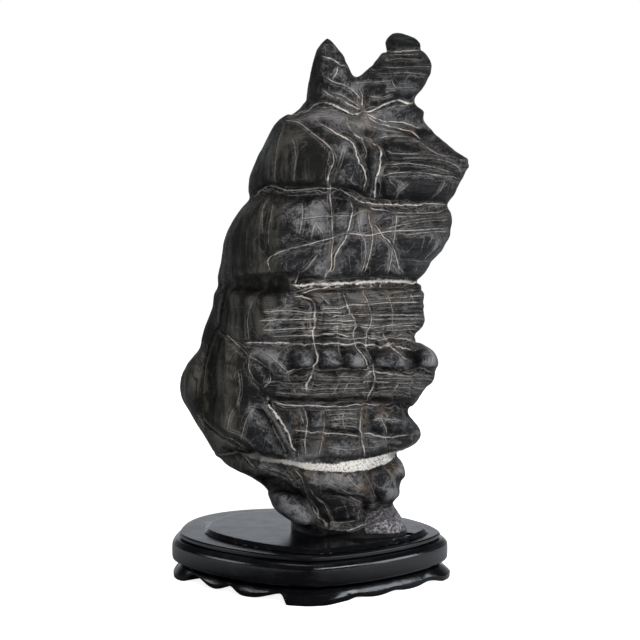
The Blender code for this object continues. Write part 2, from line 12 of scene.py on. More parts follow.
import bpy
import numpy as np
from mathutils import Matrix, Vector


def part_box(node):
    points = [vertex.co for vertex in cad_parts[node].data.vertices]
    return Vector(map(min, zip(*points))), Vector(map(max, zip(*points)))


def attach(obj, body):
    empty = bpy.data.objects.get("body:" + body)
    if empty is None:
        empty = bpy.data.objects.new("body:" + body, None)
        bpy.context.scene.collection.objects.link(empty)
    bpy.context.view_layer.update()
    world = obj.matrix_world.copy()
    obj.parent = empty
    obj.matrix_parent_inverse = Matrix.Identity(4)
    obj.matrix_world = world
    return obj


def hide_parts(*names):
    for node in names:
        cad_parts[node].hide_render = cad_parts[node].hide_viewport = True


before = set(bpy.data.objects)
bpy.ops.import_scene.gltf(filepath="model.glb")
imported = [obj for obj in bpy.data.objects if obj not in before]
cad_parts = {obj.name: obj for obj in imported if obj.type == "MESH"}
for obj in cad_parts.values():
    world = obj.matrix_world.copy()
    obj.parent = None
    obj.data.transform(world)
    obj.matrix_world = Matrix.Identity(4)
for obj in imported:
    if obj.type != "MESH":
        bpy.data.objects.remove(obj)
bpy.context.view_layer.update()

MM = 0.001
print("nodes in the frame:", sorted(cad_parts))


# %% [markdown]
# ## Small helpers
# An operator works on whatever is selected, and the frame's nodes are selected after loading, so
# each step starts by selecting only its own piece. The positions of a mesh are read and written as
# one array, because the stone is shaped by arithmetic on all its points at once. Finishes and the
# world are networks of nodes, and one short function adds a node together with its inputs.

# %% Select a piece, read its points, apply its modifiers
def pick(piece):
    bpy.ops.object.select_all(action="DESELECT")
    piece.select_set(True)
    bpy.context.view_layer.objects.active = piece


def read_points(piece, what="co"):
    """Three numbers for each point of a mesh: its place, or its normal."""
    flat = np.empty(len(piece.data.vertices) * 3)
    piece.data.vertices.foreach_get(what, flat)
    return flat.reshape(-1, 3)


def write_points(piece, points):
    piece.data.vertices.foreach_set("co", points.ravel())
    piece.data.update()


def store(piece, name, values):
    """Keep three numbers at each point of a mesh, for its material to read."""
    layer = piece.data.attributes.new(name, "FLOAT_VECTOR", "POINT")
    layer.data.foreach_set("vector", np.ascontiguousarray(values, dtype=float).ravel())


def apply_all(piece):
    pick(piece)
    for modifier in list(piece.modifiers):
        bpy.ops.object.modifier_apply(modifier=modifier.name)


def smoothstep(low, high, values):
    share = np.clip((values - low) / (high - low), 0, 1)
    return share * share * (3 - 2 * share)


pick(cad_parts["stone"])
print("stone node:", len(read_points(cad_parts["stone"])), "points")

# %% Add a node to a material or to the world
def feed(tree, socket, value):
    """Link another node's output to a socket, or set the socket to a fixed value."""
    if hasattr(value, "is_output"):
        tree.links.new(value, socket)
    else:
        socket.default_value = value


def add_node(tree, kind, inputs=None, **settings):
    """A new node. Its inputs are given by name or by number."""
    node = tree.nodes.new("ShaderNode" + kind)
    for name, value in settings.items():
        setattr(node, name, value)
    for name, value in (inputs or {}).items():
        feed(tree, node.inputs[name], value)
    return node


# %% [markdown]
# ## Noise
# Stone isn't even anywhere. This noise gives each cell of a grid a fixed number made from the
# cell's place, and blends smoothly between neighbours. Nothing in it is drawn at random, so the
# stone is the same each time. Three sizes can differ, which makes streaks and layers.

# %% Smooth noise from -1 to 1
HASH_X, HASH_Y, HASH_Z, HASH_SEED = 374761393, 668265263, 1440662683, 1274126177
LARGEST = 0xFFFF


def cell_value(cell_x, cell_y, cell_z, seed):
    mixed = cell_x * HASH_X + cell_y * HASH_Y + cell_z * HASH_Z + seed * HASH_SEED
    mixed = (mixed ^ (mixed >> 13)) * HASH_SEED
    return 2 * ((mixed ^ (mixed >> 16)) & LARGEST) / LARGEST - 1


def noise(points, size, seed):
    """Noise at each point, with lumps as large as size, one number or one for each axis."""
    scaled = points / np.asarray(size, dtype=float)
    cell = np.floor(scaled).astype(np.int64)
    share = scaled - cell
    share = share * share * (3 - 2 * share)
    total = np.zeros(len(points))
    for corner in product((0, 1), repeat=3):
        weight = np.ones(len(points))
        for axis in range(3):
            weight = weight * (share[:, axis] if corner[axis] else 1 - share[:, axis])
        total += weight * cell_value(*(cell[:, axis] + corner[axis] for axis in range(3)), seed)
    return total


sample = noise(np.arange(300.0).reshape(-1, 3), 7.0, 1)
print("noise runs from", round(sample.min(), 2), "to", round(sample.max(), 2))


# %% [markdown]
# ## The camera
# The photograph is taken from a little above the middle of the stone, looking slightly down, with
# a long lens. The stand's ellipses and the height of the floor line give the angle and the
# distance. One pixel is 0.92 mm on the plane through the middle of the stone.

# %% Camera
FRAME_PIXELS = 640
FOCAL_PIXELS = 1400
SENSOR_WIDTH = 36
LOOKING_DOWN = math.radians(4.9)
CAMERA_PLACE = Vector((0.0024, -1.29475, 0.3513))

camera_data = bpy.data.cameras.new("camera")
camera_data.sensor_width = SENSOR_WIDTH
camera_data.lens = FOCAL_PIXELS * SENSOR_WIDTH / FRAME_PIXELS
camera = bpy.data.objects.new("camera", camera_data)
camera.location = CAMERA_PLACE
camera.rotation_euler = (math.pi / 2 - LOOKING_DOWN, 0, 0)
bpy.context.scene.collection.objects.link(camera)
bpy.context.scene.camera = camera
print("lens", camera_data.lens, "mm")


# %% [markdown]
# ## Light
# The stone is dark and dull, and the stand is black lacquer, which shows the room more than its own
# colour. The main soft light stands in front, a little above and to the right of the camera, so
# the stone's sides fall off into the dark. It isn't mirrored in the lacquer. Smaller lights at the
# sides only draw the gleams there, and weak ones fill the stone's sides and back.

# %% Soft lights
STONE_MIDDLE = (0.0, 0.0, 0.26)
STAND_MIDDLE = (0.0, 0.0, 0.03)
# Name, place, target, width, height, watts, colour, mirrored in gloss, lighting matt surfaces
SOFT_LIGHTS = [
    ("front_softbox", (0.46, -1.30, 0.98), STONE_MIDDLE, 0.35, 0.35, 23, (1.0, 0.995, 0.985), False, True),
    ("low_fill", (-0.10, -1.50, 0.40), STONE_MIDDLE, 0.7, 0.7, 2.0, (1.0, 0.99, 0.97), False, True),
    ("gleam", (0.85, -1.05, 0.78), STAND_MIDDLE, 0.9, 0.3, 9.0, (0.97, 0.99, 1.0), True, False),
    ("right_softbox", (1.28, -0.36, 0.42), STAND_MIDDLE, 0.7, 0.7, 9.0, (0.86, 0.93, 1.0), True, False),
    ("right_fill", (1.20, -0.70, 0.45), STONE_MIDDLE, 0.8, 0.8, 1.6, (0.84, 0.92, 1.0), False, True),
    ("left_softbox", (-1.28, -0.40, 0.42), STAND_MIDDLE, 0.5, 0.5, 3.5, (0.95, 0.97, 1.0), True, False),
    ("left_fill", (-1.20, -0.60, 0.40), STONE_MIDDLE, 0.5, 0.8, 0.7, (1.0, 0.97, 0.92), False, True),
    ("top_softbox", (0.0, 0.25, 1.45), STONE_MIDDLE, 0.9, 0.6, 3.5, (1.0, 1.0, 1.0), True, True),
    ("back_fill", (0.25, 1.55, 0.55), STONE_MIDDLE, 0.8, 0.8, 6.0, (1.0, 1.0, 1.0), False, True),
]


def soft_light(name, place, target, width, height, watts, colour, mirrored, matt):
    data = bpy.data.lights.new(name, "AREA")
    data.shape = "RECTANGLE"
    data.size = width
    data.size_y = height
    data.energy = watts
    data.color = colour
    light = bpy.data.objects.new(name, data)
    light.location = place
    light.visible_glossy = mirrored
    light.visible_diffuse = matt
    light.rotation_euler = (Vector(target) - Vector(place)).to_track_quat("-Z", "Y").to_euler()
    bpy.context.scene.collection.objects.link(light)


for numbers in SOFT_LIGHTS:
    soft_light(*numbers)
print(len(SOFT_LIGHTS), "soft lights")


# %% [markdown]
# ## The room and the floor
# The photograph's ground is plain white, but the lacquer mirrors hardly any of it: it is nearly
# black, with a sheen on its flat top. One bright room can't give both. So the camera's own rays see
# a white backdrop, and all other rays see a dim room that is bright only low behind the object,
# which gives the sheen. The floor is split in the same way, and it has no horizon.

# %% A white backdrop for the camera, a dim room for everything else
ROOM_BEHIND = (0.80, 0.84, 0.90, 1)
ROOM_ELSEWHERE = (0.03, 0.03, 0.033, 1)
BACKDROP_WHITE = (1, 1, 1, 1)
BEHIND_FROM, BEHIND_TO = 0.35, 0.95
DIM_ABOVE, BRIGHT_BELOW = 0.55, 0.15

world = bpy.data.worlds.new("room")
bpy.context.scene.world = world
bpy.context.scene.view_settings.view_transform = "Standard"
world.use_nodes = True
room = world.node_tree
room.nodes.clear()
direction = add_node(room, "TexCoord").outputs["Generated"]
heading = add_node(room, "SeparateXYZ", {0: direction}).outputs
behind_range = {"Value": heading["Y"], "From Min": BEHIND_FROM, "From Max": BEHIND_TO}
low_range = {"Value": heading["Z"], "From Min": DIM_ABOVE, "From Max": BRIGHT_BELOW}
two_shares = {0: add_node(room, "MapRange", behind_range).outputs[0],
              1: add_node(room, "MapRange", low_range).outputs[0]}
low_behind = add_node(room, "Math", two_shares, operation="MULTIPLY").outputs[0]
room_tones = {"Factor": low_behind, "A": ROOM_ELSEWHERE, "B": ROOM_BEHIND}
room_colour = add_node(room, "Mix", room_tones, data_type="RGBA").outputs["Result"]
dim_room = add_node(room, "Background", {"Color": room_colour}).outputs[0]
backdrop = add_node(room, "Background", {"Color": BACKDROP_WHITE}).outputs[0]
camera_ray = add_node(room, "LightPath").outputs["Is Camera Ray"]
picked = add_node(room, "MixShader", {"Fac": camera_ray, 1: dim_room, 2: backdrop}).outputs[0]
add_node(room, "OutputWorld", {"Surface": picked})
print("room:", len(room.nodes), "nodes")


# %% A pale floor, which the lacquer mirrors bright only at the stand's two sides
FLOOR_SIZE = 40
FLOOR_GREY = (0.8, 0.8, 0.8, 1)
FLOOR_DIM = (0.06, 0.06, 0.065, 1)
FLOOR_AT_SIDES = (0.90, 0.95, 1.0, 1)
SIDES_FROM, SIDES_TO = 0.06, 0.24
SIDES_MIDDLE = -0.04
GLOW_NEAR, GLOW_FAR = 0.90, 1.03
GLOW_FROM, GLOW_TO = 0.25, 1.2

bpy.ops.object.select_all(action="DESELECT")
bpy.ops.mesh.primitive_plane_add(size=FLOOR_SIZE, location=(0, 0, 0))
floor = bpy.context.object
floor.name = "floor"
paper = bpy.data.materials.new("floor_paper")
paper.use_nodes = True
floor.data.materials.append(paper)
tree = paper.node_tree
surface = tree.nodes["Principled BSDF"]
surface.inputs["Base Color"].default_value = FLOOR_GREY
surface.inputs["Roughness"].default_value = 1.0
surface.inputs["Specular IOR Level"].default_value = 0.0
on_floor = add_node(tree, "TexCoord").outputs["Object"]
from_object = add_node(tree, "VectorMath", {0: on_floor}, operation="LENGTH").outputs["Value"]
glow_range = {0: from_object, 1: GLOW_FROM, 2: GLOW_TO, 3: GLOW_NEAR, 4: GLOW_FAR}
strength = add_node(tree, "MapRange", glow_range).outputs[0]
glow = add_node(tree, "Emission", {"Strength": strength}).outputs[0]
seen = add_node(tree, "AddShader", {0: surface.outputs[0], 1: glow}).outputs[0]
floor_x = add_node(tree, "SeparateXYZ", {0: on_floor}).outputs["X"]
from_middle = add_node(tree, "Math", {0: floor_x, 1: SIDES_MIDDLE}, operation="SUBTRACT").outputs[0]
either_side = add_node(tree, "Math", {0: from_middle}, operation="ABSOLUTE").outputs[0]
at_sides = add_node(tree, "MapRange", {0: either_side, 1: SIDES_FROM, 2: SIDES_TO}).outputs[0]
floor_tones = {"Factor": at_sides, "A": FLOOR_DIM, "B": FLOOR_AT_SIDES}
mirrored_floor = add_node(tree, "Mix", floor_tones, data_type="RGBA").outputs["Result"]
unseen = add_node(tree, "BsdfDiffuse", {"Color": mirrored_floor}).outputs[0]
camera_ray = add_node(tree, "LightPath").outputs["Is Camera Ray"]
both = add_node(tree, "MixShader", {"Fac": camera_ray, 1: unseen, 2: seen}).outputs[0]
feed(tree, tree.nodes["Material Output"].inputs["Surface"], both)
print("floor", FLOOR_SIZE, "m wide")


# %% [markdown]
# ## The stone: a fine skin over the CAD solid
# The CAD solid has the stone's outline, its lumps and its ledges, in a few thousand triangles. A
# copy of it is rebuilt from small even squares with the Remesh modifier, which gives points
# everywhere to push in and out, as clay in sculpting. The pushing is done in code, because veins
# and layers follow the stone's faces and no single operator lays them out.

# %% Copy the stone and give it an even fine mesh
SKIN_STEP = 1.89 * MM
SOFTEN_SHARE, SOFTEN_TIMES = 0.5, 6
WELD = 0.02 * MM


def copy_of(node, name):
    """A welded copy of a CAD node, as an object of its own that stands for it."""
    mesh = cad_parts[node].data.copy()
    mesh.name = name
    mesh.materials.clear()
    piece = bpy.data.objects.new(name, mesh)
    bpy.context.scene.collection.objects.link(piece)
    pick(piece)
    bpy.ops.object.mode_set(mode="EDIT")
    bpy.ops.mesh.select_all(action="SELECT")
    bpy.ops.mesh.remove_doubles(threshold=WELD)
    bpy.ops.object.mode_set(mode="OBJECT")
    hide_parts(node)
    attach(piece, "root")
    return piece


stone = copy_of("stone", "veined_rock")
remesh = stone.modifiers.new("even_squares", "REMESH")
remesh.mode = "VOXEL"
remesh.voxel_size = SKIN_STEP
remesh.use_smooth_shade = True
soften = stone.modifiers.new("soften", "SMOOTH")
soften.factor = SOFTEN_SHARE
soften.iterations = SOFTEN_TIMES
apply_all(stone)
print("stone skin:", len(stone.data.vertices), "points,", len(stone.data.polygons), "faces")


# %% [markdown]
# ## Where the veins run
# Each vein is a line drawn over the front of the stone, with its points read from the photograph,
# as columns and rows of its 640 x 640 frame. A joint is a flat crack between two layers of rock,
# and a cross vein runs down over several of them. Each has a tone from faint to white, a half width
# and the depth of its groove in millimetres.

# %% Joints between the layers, from the top down: tone, half width, groove, points
JOINTS = [
    (0.80, 0.30, 2.2, [(249, 199.6), (256, 194.5), (270, 188.4), (291, 191.4), (329, 192.4), (350, 196.5),
                       (368, 203.7), (409, 205), (447, 205.7)]),
    (0.70, 0.36, 1.2, [(368, 206), (400, 208.5), (447, 209.5)]),
    (0.50, 0.50, 0.5, [(300, 219), (329, 216), (348, 216), (356, 213), (364, 208.8)]),
    (0.60, 0.45, 0.6, [(385, 231), (395, 228), (410, 224), (430, 221), (450, 220.5)]),
    (0.45, 0.40, 0.4, [(398, 224), (418, 219), (450, 216)]),
    (0.72, 0.34, 1.1, [(271, 275.7), (266.6, 269.6), (267, 259.4), (282, 252.7), (291, 250), (311, 244.5),
                       (329, 240.4), (348, 235.3), (368, 235.3), (391, 232), (448, 230)]),
    (0.40, 0.40, 0.4, [(392, 264), (415, 262.5), (436, 264)]),
    (1.00, 0.62, 2.5, [(289, 284.5), (320, 284), (355, 283.5), (390, 282.6), (421, 282.2)]),
    (0.77, 0.50, 0.7, [(288, 291), (310, 287), (330, 284.5)]),
    (0.67, 0.46, 0.5, [(376, 300), (394, 298.5), (422, 296)]),
    (0.72, 0.46, 0.6, [(318, 311), (334, 309), (369, 306), (403, 304.3), (422, 303)]),
    (0.80, 0.50, 0.6, [(330, 318), (348, 316.3), (390, 316), (425, 315.8)]),
    (0.72, 0.46, 0.6, [(312, 326), (342, 325), (369, 327), (422, 329)]),
    (0.67, 0.46, 0.5, [(262, 331), (300, 330), (352, 331.8)]),
    (0.80, 0.55, 0.8, [(300, 334.7), (357, 337.6), (390, 338), (419, 337.6)]),
    (0.72, 0.46, 1.8, [(244, 344), (300, 344.2), (360, 344.6), (422, 345)]),
    (0.62, 0.38, 1.3, [(282, 375.5), (300, 373.7), (364, 373.7), (369, 370.9), (403, 373.2), (437, 373.7)]),
    (0.50, 0.40, 0.4, [(300, 377), (364, 377.4), (370, 374.4), (403, 376.4), (436, 377)]),
    (0.65, 0.50, 0.8, [(262, 382.5), (300, 386.4), (363, 386.4), (369, 384), (403, 386.4), (433, 386.4)]),
    (0.50, 0.40, 0.5, [(300, 391), (357, 391), (369, 389.5)]),
    (0.55, 0.45, 0.6, [(352, 397.3), (392, 394.4), (413, 399)]),
    (0.50, 0.40, 0.5, [(272, 394), (300, 396), (340, 395)]),
    (0.75, 0.38, 2.0, [(262, 399), (268, 402), (282, 406), (321, 407), (344, 406.4), (360, 405.8),
                       (385, 408), (412, 410)]),
    (0.55, 0.45, 0.5, [(318, 411), (326, 410.5), (359, 410)]),
    (0.62, 0.38, 1.9, [(291, 430.6), (300, 431.7), (326, 434), (362, 437.4)]),
    (0.60, 0.50, 1.0, [(362, 434.5), (385, 435.7), (412, 435)]),
    (0.55, 0.45, 0.6, [(290, 442), (300, 442.6), (326, 443)]),
    (0.40, 0.40, 0.4, [(326, 421), (348, 419), (362, 420)]),
    (0.70, 0.36, 0.6, [(397, 506), (380, 513.5), (364, 522), (350, 528), (335, 532), (321, 535)]),
    (0.55, 0.36, 0.5, [(366, 507), (380, 506.5), (394, 503)]),
    (0.55, 0.36, 0.5, [(324, 525), (340, 525), (357, 522)]),
    (0.60, 0.35, 0.3, [(385, 211.5), (410, 211.8), (447, 212)]),
    (0.45, 0.35, 0.3, [(392, 217), (420, 215), (449, 213.5)]),
    (0.55, 0.35, 0.4, [(402, 236), (425, 233), (448, 232.5)]),
    (0.62, 0.46, 0.3, [(300, 294.5), (340, 292), (380, 290), (418, 288)]),
    (0.62, 0.46, 0.4, [(352, 303.5), (375, 303), (392, 301.5)]),
    (0.67, 0.46, 0.4, [(262, 313), (290, 312), (312, 314), (345, 313)]),
    (0.62, 0.46, 0.3, [(366, 320.5), (390, 320), (424, 320)]),
    (0.72, 0.46, 0.4, [(258, 322), (290, 320.5), (330, 321.5), (362, 322)]),
    (0.67, 0.46, 0.3, [(330, 329), (356, 328), (372, 330), (400, 325.5), (421, 325)]),
    (0.67, 0.46, 0.4, [(372, 333.5), (395, 333), (420, 333)]),
    (0.72, 0.46, 0.4, [(270, 338.5), (300, 339), (330, 338.6), (352, 340.4)]),
    (0.72, 0.46, 0.3, [(330, 341.8), (372, 341.5), (420, 341.3)]),
    (0.45, 0.35, 0.3, [(306, 380.5), (340, 381.5), (364, 381)]),
    (0.45, 0.35, 0.3, [(372, 379.5), (400, 380.5), (434, 381)]),
    (0.50, 0.35, 0.3, [(372, 391), (395, 390), (428, 392.5)]),
    (0.45, 0.35, 0.4, [(300, 401), (330, 400), (362, 399.5)]),
    (0.50, 0.35, 0.3, [(325, 416), (345, 414.5), (361, 415.5)]),
    (0.50, 0.35, 0.4, [(326, 427), (345, 426), (362, 428.5)]),
    (0.50, 0.35, 0.3, [(370, 421), (385, 419), (408, 422)]),
    (0.40, 0.35, 0.3, [(326, 448), (350, 451), (386, 447)]),
    (0.40, 0.35, 0.3, [(366, 443), (385, 441), (402, 444)]),
]

# %% Veins of the two horns and the saddle between them
HORN_VEINS = [
    (0.95, 0.80, 1.6, [(286, 115), (294, 111.2), (312, 106.7), (322, 105.5), (337, 108), (351, 112.5),
                       (362, 111.8)]),
    (0.80, 0.60, 1.0, [(320, 90), (327, 92.7), (341, 99), (352, 105), (361, 110)]),
    (0.60, 0.45, 0.5, [(330, 91), (344, 96), (362, 109)]),
    (0.95, 0.70, 1.5, [(362, 112), (375, 110), (390, 106), (401, 103.4), (414, 102.5)]),
    (0.90, 0.60, 0.8, [(358, 89), (359, 97), (361, 108)]),
    (0.80, 0.75, 0.6, [(320, 57), (332, 57), (340, 61), (347, 67)]),
    (0.70, 0.80, 0.3, [(338.5, 66), (336, 74), (331, 80.5)]),
    (0.60, 0.50, 0.5, [(322, 77), (332, 82), (345, 86), (353, 92), (358, 100)]),
    (0.60, 0.45, 1.4, [(378, 50.5), (400, 49), (424, 48.4)]),
    (0.55, 0.45, 0.6, [(382, 53), (400, 52.5), (422, 52)]),
    (0.60, 0.45, 0.6, [(366, 69), (380, 67.5), (408, 67.2), (433, 67.8)]),
    (0.50, 0.45, 0.5, [(356, 84), (372, 82.5), (390, 81.2)]),
    (0.65, 0.50, 0.7, [(389, 80), (397, 86), (409, 88), (420, 93)]),
    (0.40, 0.40, 0.4, [(382, 90.2), (395, 88.6), (407, 87.6)]),
    (0.40, 0.40, 0.4, [(366, 97), (380, 99), (392, 96)]),
    (0.45, 0.45, 0.4, [(380, 60), (400, 58), (424, 60)]),
    (0.45, 0.45, 0.4, [(372, 75), (400, 74), (428, 77)]),
    (0.50, 0.45, 0.4, [(291, 122), (308, 117), (330, 116), (350, 120), (362, 128)]),
    (0.45, 0.40, 0.4, [(300, 112), (320, 111), (342, 115), (358, 124)]),
]
print(len(HORN_VEINS), "veins of the horns")

# %% The fan of veins that spreads from the saddle over the right shoulder
SHOULDER_VEINS = [
    (0.75, 0.50, 0.8, [(364, 113), (385, 118), (408, 122), (426, 126)]),
    (0.85, 0.55, 0.9, [(366, 115), (386, 122), (406, 127), (414, 129.7), (433, 143.7), (450, 151),
                       (466, 160)]),
    (0.60, 0.45, 0.5, [(366, 124), (384, 129), (402, 131)]),
    (0.65, 0.45, 0.5, [(376, 136.5), (390, 135), (410, 134.8)]),
    (0.60, 0.45, 0.4, [(410, 136), (432, 149), (456, 156)]),
    (0.75, 0.50, 0.7, [(382, 149), (400, 149.5), (427, 150.5), (459, 161)]),
    (0.60, 0.40, 0.4, [(400, 157), (420, 157.5), (440, 160), (456, 166.7), (462, 177)]),
    (0.70, 0.45, 0.6, [(381, 163), (408, 163.5), (436, 169.5), (455, 176)]),
    (0.75, 0.50, 0.8, [(379, 175.8), (401, 173.7), (427, 176.3), (460, 181.5)]),
    (0.50, 0.45, 0.4, [(408, 184), (398, 194), (394.5, 203)]),
    (0.50, 0.45, 0.4, [(446, 181), (438, 194.7), (431, 203)]),
]
print(len(SHOULDER_VEINS), "veins of the shoulder")

# %% Cross veins, which run down over the layers
CROSS_VEINS = [
    (0.80, 0.50, 1.2, [(332, 154), (332, 163), (330, 172), (329, 183), (329.4, 193.5), (330.4, 214),
                       (331, 234), (332.4, 256.7), (329.4, 272), (323, 282)]),
    (0.75, 0.60, 1.2, [(312, 118), (330, 127), (345, 134), (353, 141), (357, 152), (361, 163), (364, 174),
                       (365, 183), (361, 196)]),
    (0.75, 0.45, 0.55, [(283, 119), (296, 121), (305, 127), (318, 137), (326, 144), (331, 152),
                        (332, 160)]),
    (0.75, 0.50, 1.4, [(352, 130), (368, 137), (378, 145), (381, 155), (380, 166), (377, 180),
                       (373.5, 202)]),
    (0.65, 0.45, 0.8, [(345, 115), (352, 128), (362, 138), (365, 147), (361, 158)]),
    (0.70, 0.50, 0.7, [(350, 198), (352, 210), (349, 224), (344.7, 240.4), (335.5, 256.7), (331.4, 272),
                       (323, 283)]),
    (0.65, 0.50, 0.7, [(368, 208), (369, 220), (372, 236), (370, 254.7), (366, 270), (362, 282)]),
    (0.50, 0.45, 0.5, [(356, 214), (359, 232), (364, 242), (364.5, 260), (360, 279)]),
    (0.75, 0.50, 0.8, [(370, 222), (382.4, 236), (392.7, 250.6), (403, 278)]),
    (0.55, 0.45, 0.5, [(395.7, 212), (394.7, 228), (392.7, 244.5), (390, 265), (386, 278)]),
    (0.35, 0.40, 0.3, [(431, 208), (431, 229)]),
    (0.45, 0.40, 0.3, [(443, 236), (432, 252), (422, 262)]),
    (0.35, 0.40, 0.3, [(418, 262), (415, 276)]),
    (0.60, 0.50, 0.8, [(318, 254), (303, 272), (290, 286)]),
    (0.40, 0.45, 0.3, [(317, 219), (312, 230), (310, 240)]),
    (0.75, 0.60, 1.3, [(290, 291), (303, 298.6), (312, 307.8), (313, 326), (312.7, 341), (316, 357),
                       (315, 369), (311, 378), (306, 394)]),
    (0.65, 0.55, 1.0, [(301, 407), (305, 420), (305, 431), (304.5, 445), (305, 459)]),
    (0.60, 0.50, 0.8, [(337, 288), (347.8, 312), (353, 326), (353, 341), (364, 359), (368, 371)]),
    (0.70, 0.50, 0.8, [(362, 286), (371, 314), (371, 324), (367, 338.8), (368, 353), (373, 369.4),
                       (373, 381.6), (370, 394), (366, 405)]),
    (0.50, 0.50, 0.8, [(386, 286), (393.7, 310), (394.7, 322), (392.7, 335)]),
    (0.45, 0.45, 0.6, [(336.5, 320), (336.5, 339), (340, 358)]),
    (0.55, 0.45, 0.5, [(404, 284), (412, 296), (420, 306)]),
    (0.65, 0.60, 1.1, [(384.5, 339.8), (392.7, 348), (409, 361)]),
    (0.45, 0.45, 0.6, [(403, 375.5), (399, 388), (390.6, 402)]),
    (0.50, 0.45, 0.6, [(419, 375.5), (414, 388), (411, 402)]),
    (0.40, 0.40, 0.4, [(341, 376), (337, 388), (330, 400)]),
    (0.60, 0.70, 0.9, [(364, 408), (362.5, 430), (364, 459)]),
    (0.50, 0.50, 0.8, [(380.4, 415), (386.5, 430), (386.5, 443), (389, 455)]),
    (0.60, 0.50, 0.8, [(323, 409), (323.5, 430), (322, 443), (318, 460)]),
    (0.45, 0.45, 0.5, [(298, 407), (301, 416), (304, 424)]),
    (0.60, 0.42, 0.6, [(363, 468), (370, 484), (375, 503)]),
    (0.55, 0.40, 0.5, [(383, 463), (390, 472), (397, 482)]),
    (0.50, 0.36, 0.5, [(325, 483), (345, 493), (363, 506)]),
    (0.50, 0.36, 0.6, [(318, 498), (345, 500), (363, 508)]),
    (0.50, 0.36, 0.6, [(366, 508), (360, 516), (357, 524)]),
    (0.60, 0.40, 0.4, [(315.8, 291.7), (325, 301.7), (331.7, 306.7)]),
    (0.50, 0.40, 0.3, [(384, 326.7), (384, 338), (388, 344)]),
    (0.50, 0.40, 0.3, [(391, 264), (395, 271), (398.5, 279)]),
    (0.45, 0.40, 0.3, [(342, 306), (341, 318), (345, 330)]),
    (0.50, 0.40, 0.4, [(352, 376), (348, 386), (342, 397)]),
    (0.40, 0.35, 0.3, [(343, 146), (339, 160), (333, 178), (331, 190)]),
    (0.45, 0.35, 0.3, [(314, 222), (322, 238), (318, 250)]),
    (0.45, 0.35, 0.3, [(300, 200), (302, 216), (298, 236)]),
    (0.45, 0.35, 0.4, [(346, 474), (352, 484), (362, 492)]),
    (0.45, 0.40, 0.4, [(424, 346), (430, 358), (428, 372)]),
    (0.45, 0.40, 0.4, [(408, 410), (404, 422), (408, 436)]),
    (0.40, 0.40, 0.4, [(345, 409), (342, 420), (346, 436)]),
]
print(len(CROSS_VEINS), "cross veins")

# %% Straps and cracks of the lower left, and the faint lines of the smooth left face
LEFT_VEINS = [
    (0.55, 0.50, 1.5, [(256, 408.6), (268, 424), (276.3, 441), (290, 462)]),
    (0.75, 0.55, 1.6, [(260, 394), (272, 410.6), (284.5, 429), (291.6, 445), (299, 461)]),
    (0.60, 0.40, 0.9, [(283, 468), (292, 481), (300, 491), (306, 500), (312, 507), (318, 514), (325, 530)]),
    (0.65, 0.40, 1.0, [(293, 468), (299, 480), (304, 490), (314, 499), (325, 509), (332, 517), (334, 530)]),
    (0.50, 0.35, 0.4, [(300, 491), (308, 503), (316, 514), (320, 519), (318, 526)]),
    (0.55, 0.35, 0.4, [(305, 492), (316, 504), (325, 512.5), (331, 518)]),
    (0.45, 0.35, 0.4, [(297, 470), (304, 484), (308, 492), (318, 501), (330, 512)]),
    (0.50, 0.45, 0.6, [(268, 481), (280, 486), (292, 492)]),
    (0.45, 0.45, 0.6, [(262, 472), (276, 476), (292, 484)]),
    (0.40, 0.40, 0.3, [(256, 466), (272, 470), (288, 476)]),
    (0.50, 0.50, 1.4, [(201, 413.7), (205, 423), (221, 437), (231.4, 441), (248, 452.4), (258, 460)]),
    (0.40, 0.50, 0.8, [(221, 448.4), (237.6, 455.5), (249, 462.7), (255, 477)]),
    (0.40, 0.40, 0.5, [(226, 431), (240, 437), (252, 447)]),
    (0.50, 0.45, 0.6, [(218, 329), (231.4, 341), (248, 356.3)]),
    (0.65, 0.50, 1.2, [(249, 357), (258, 364.5), (265, 374.7), (266, 383), (261, 391)]),
    (0.50, 0.45, 0.9, [(249, 357), (248.3, 372.7), (254, 385), (262, 392)]),
    (0.45, 0.45, 0.5, [(258, 349), (272, 358.4), (283.5, 370.6), (288.6, 383), (295.7, 396)]),
    (0.30, 0.50, 0.5, [(283, 119.4), (277.3, 146), (274.3, 171.4), (273.3, 187)]),
    (0.25, 0.50, 0.4, [(272, 202), (268, 232.7), (268, 247)]),
    (0.20, 0.50, 1.6, [(225, 281), (223.3, 301), (218.2, 329), (212, 342), (208, 362), (206, 393)]),
    (0.35, 0.40, 0.3, [(255, 407.6), (246.7, 418), (243.7, 429), (239.6, 443)]),
    (0.35, 0.40, 0.3, [(234.5, 407.6), (229.4, 418), (226.3, 433)]),
    (0.30, 0.40, 0.3, [(252, 300), (247, 320), (248, 344)]),
    (0.30, 0.40, 0.3, [(300, 296), (280, 312), (262, 330)]),
    (0.00, 0.50, 3.4, [(318, 530), (320, 521), (316, 513), (308, 505.5), (297, 498), (287, 493),
                       (275, 489.5), (264, 490)]),
    (0.45, 0.40, 1.2, [(258, 464), (268, 467), (284, 474), (296, 486), (303, 498)]),
    (0.35, 0.40, 0.5, [(238, 372), (240, 392), (236, 408)]),
    (0.35, 0.35, 0.3, [(268, 196), (262, 210), (262, 236)]),
    (0.30, 0.35, 0.3, [(292, 138), (296, 158), (293, 184)]),
]
VEINS = JOINTS + HORN_VEINS + SHOULDER_VEINS + CROSS_VEINS + LEFT_VEINS
print(len(VEINS), "veins in all")


# %% [markdown]
# ## From the drawing to the stone
# A point of the stone is placed in the drawing by the camera's own arithmetic, done once here with
# fixed numbers, so the veins stay on the stone whatever the view. The back isn't in the photograph.
# Its layers are the same layers, so the drawing is folded round the stone's middle plane, and bent
# a little so that the back isn't a copy of the front.

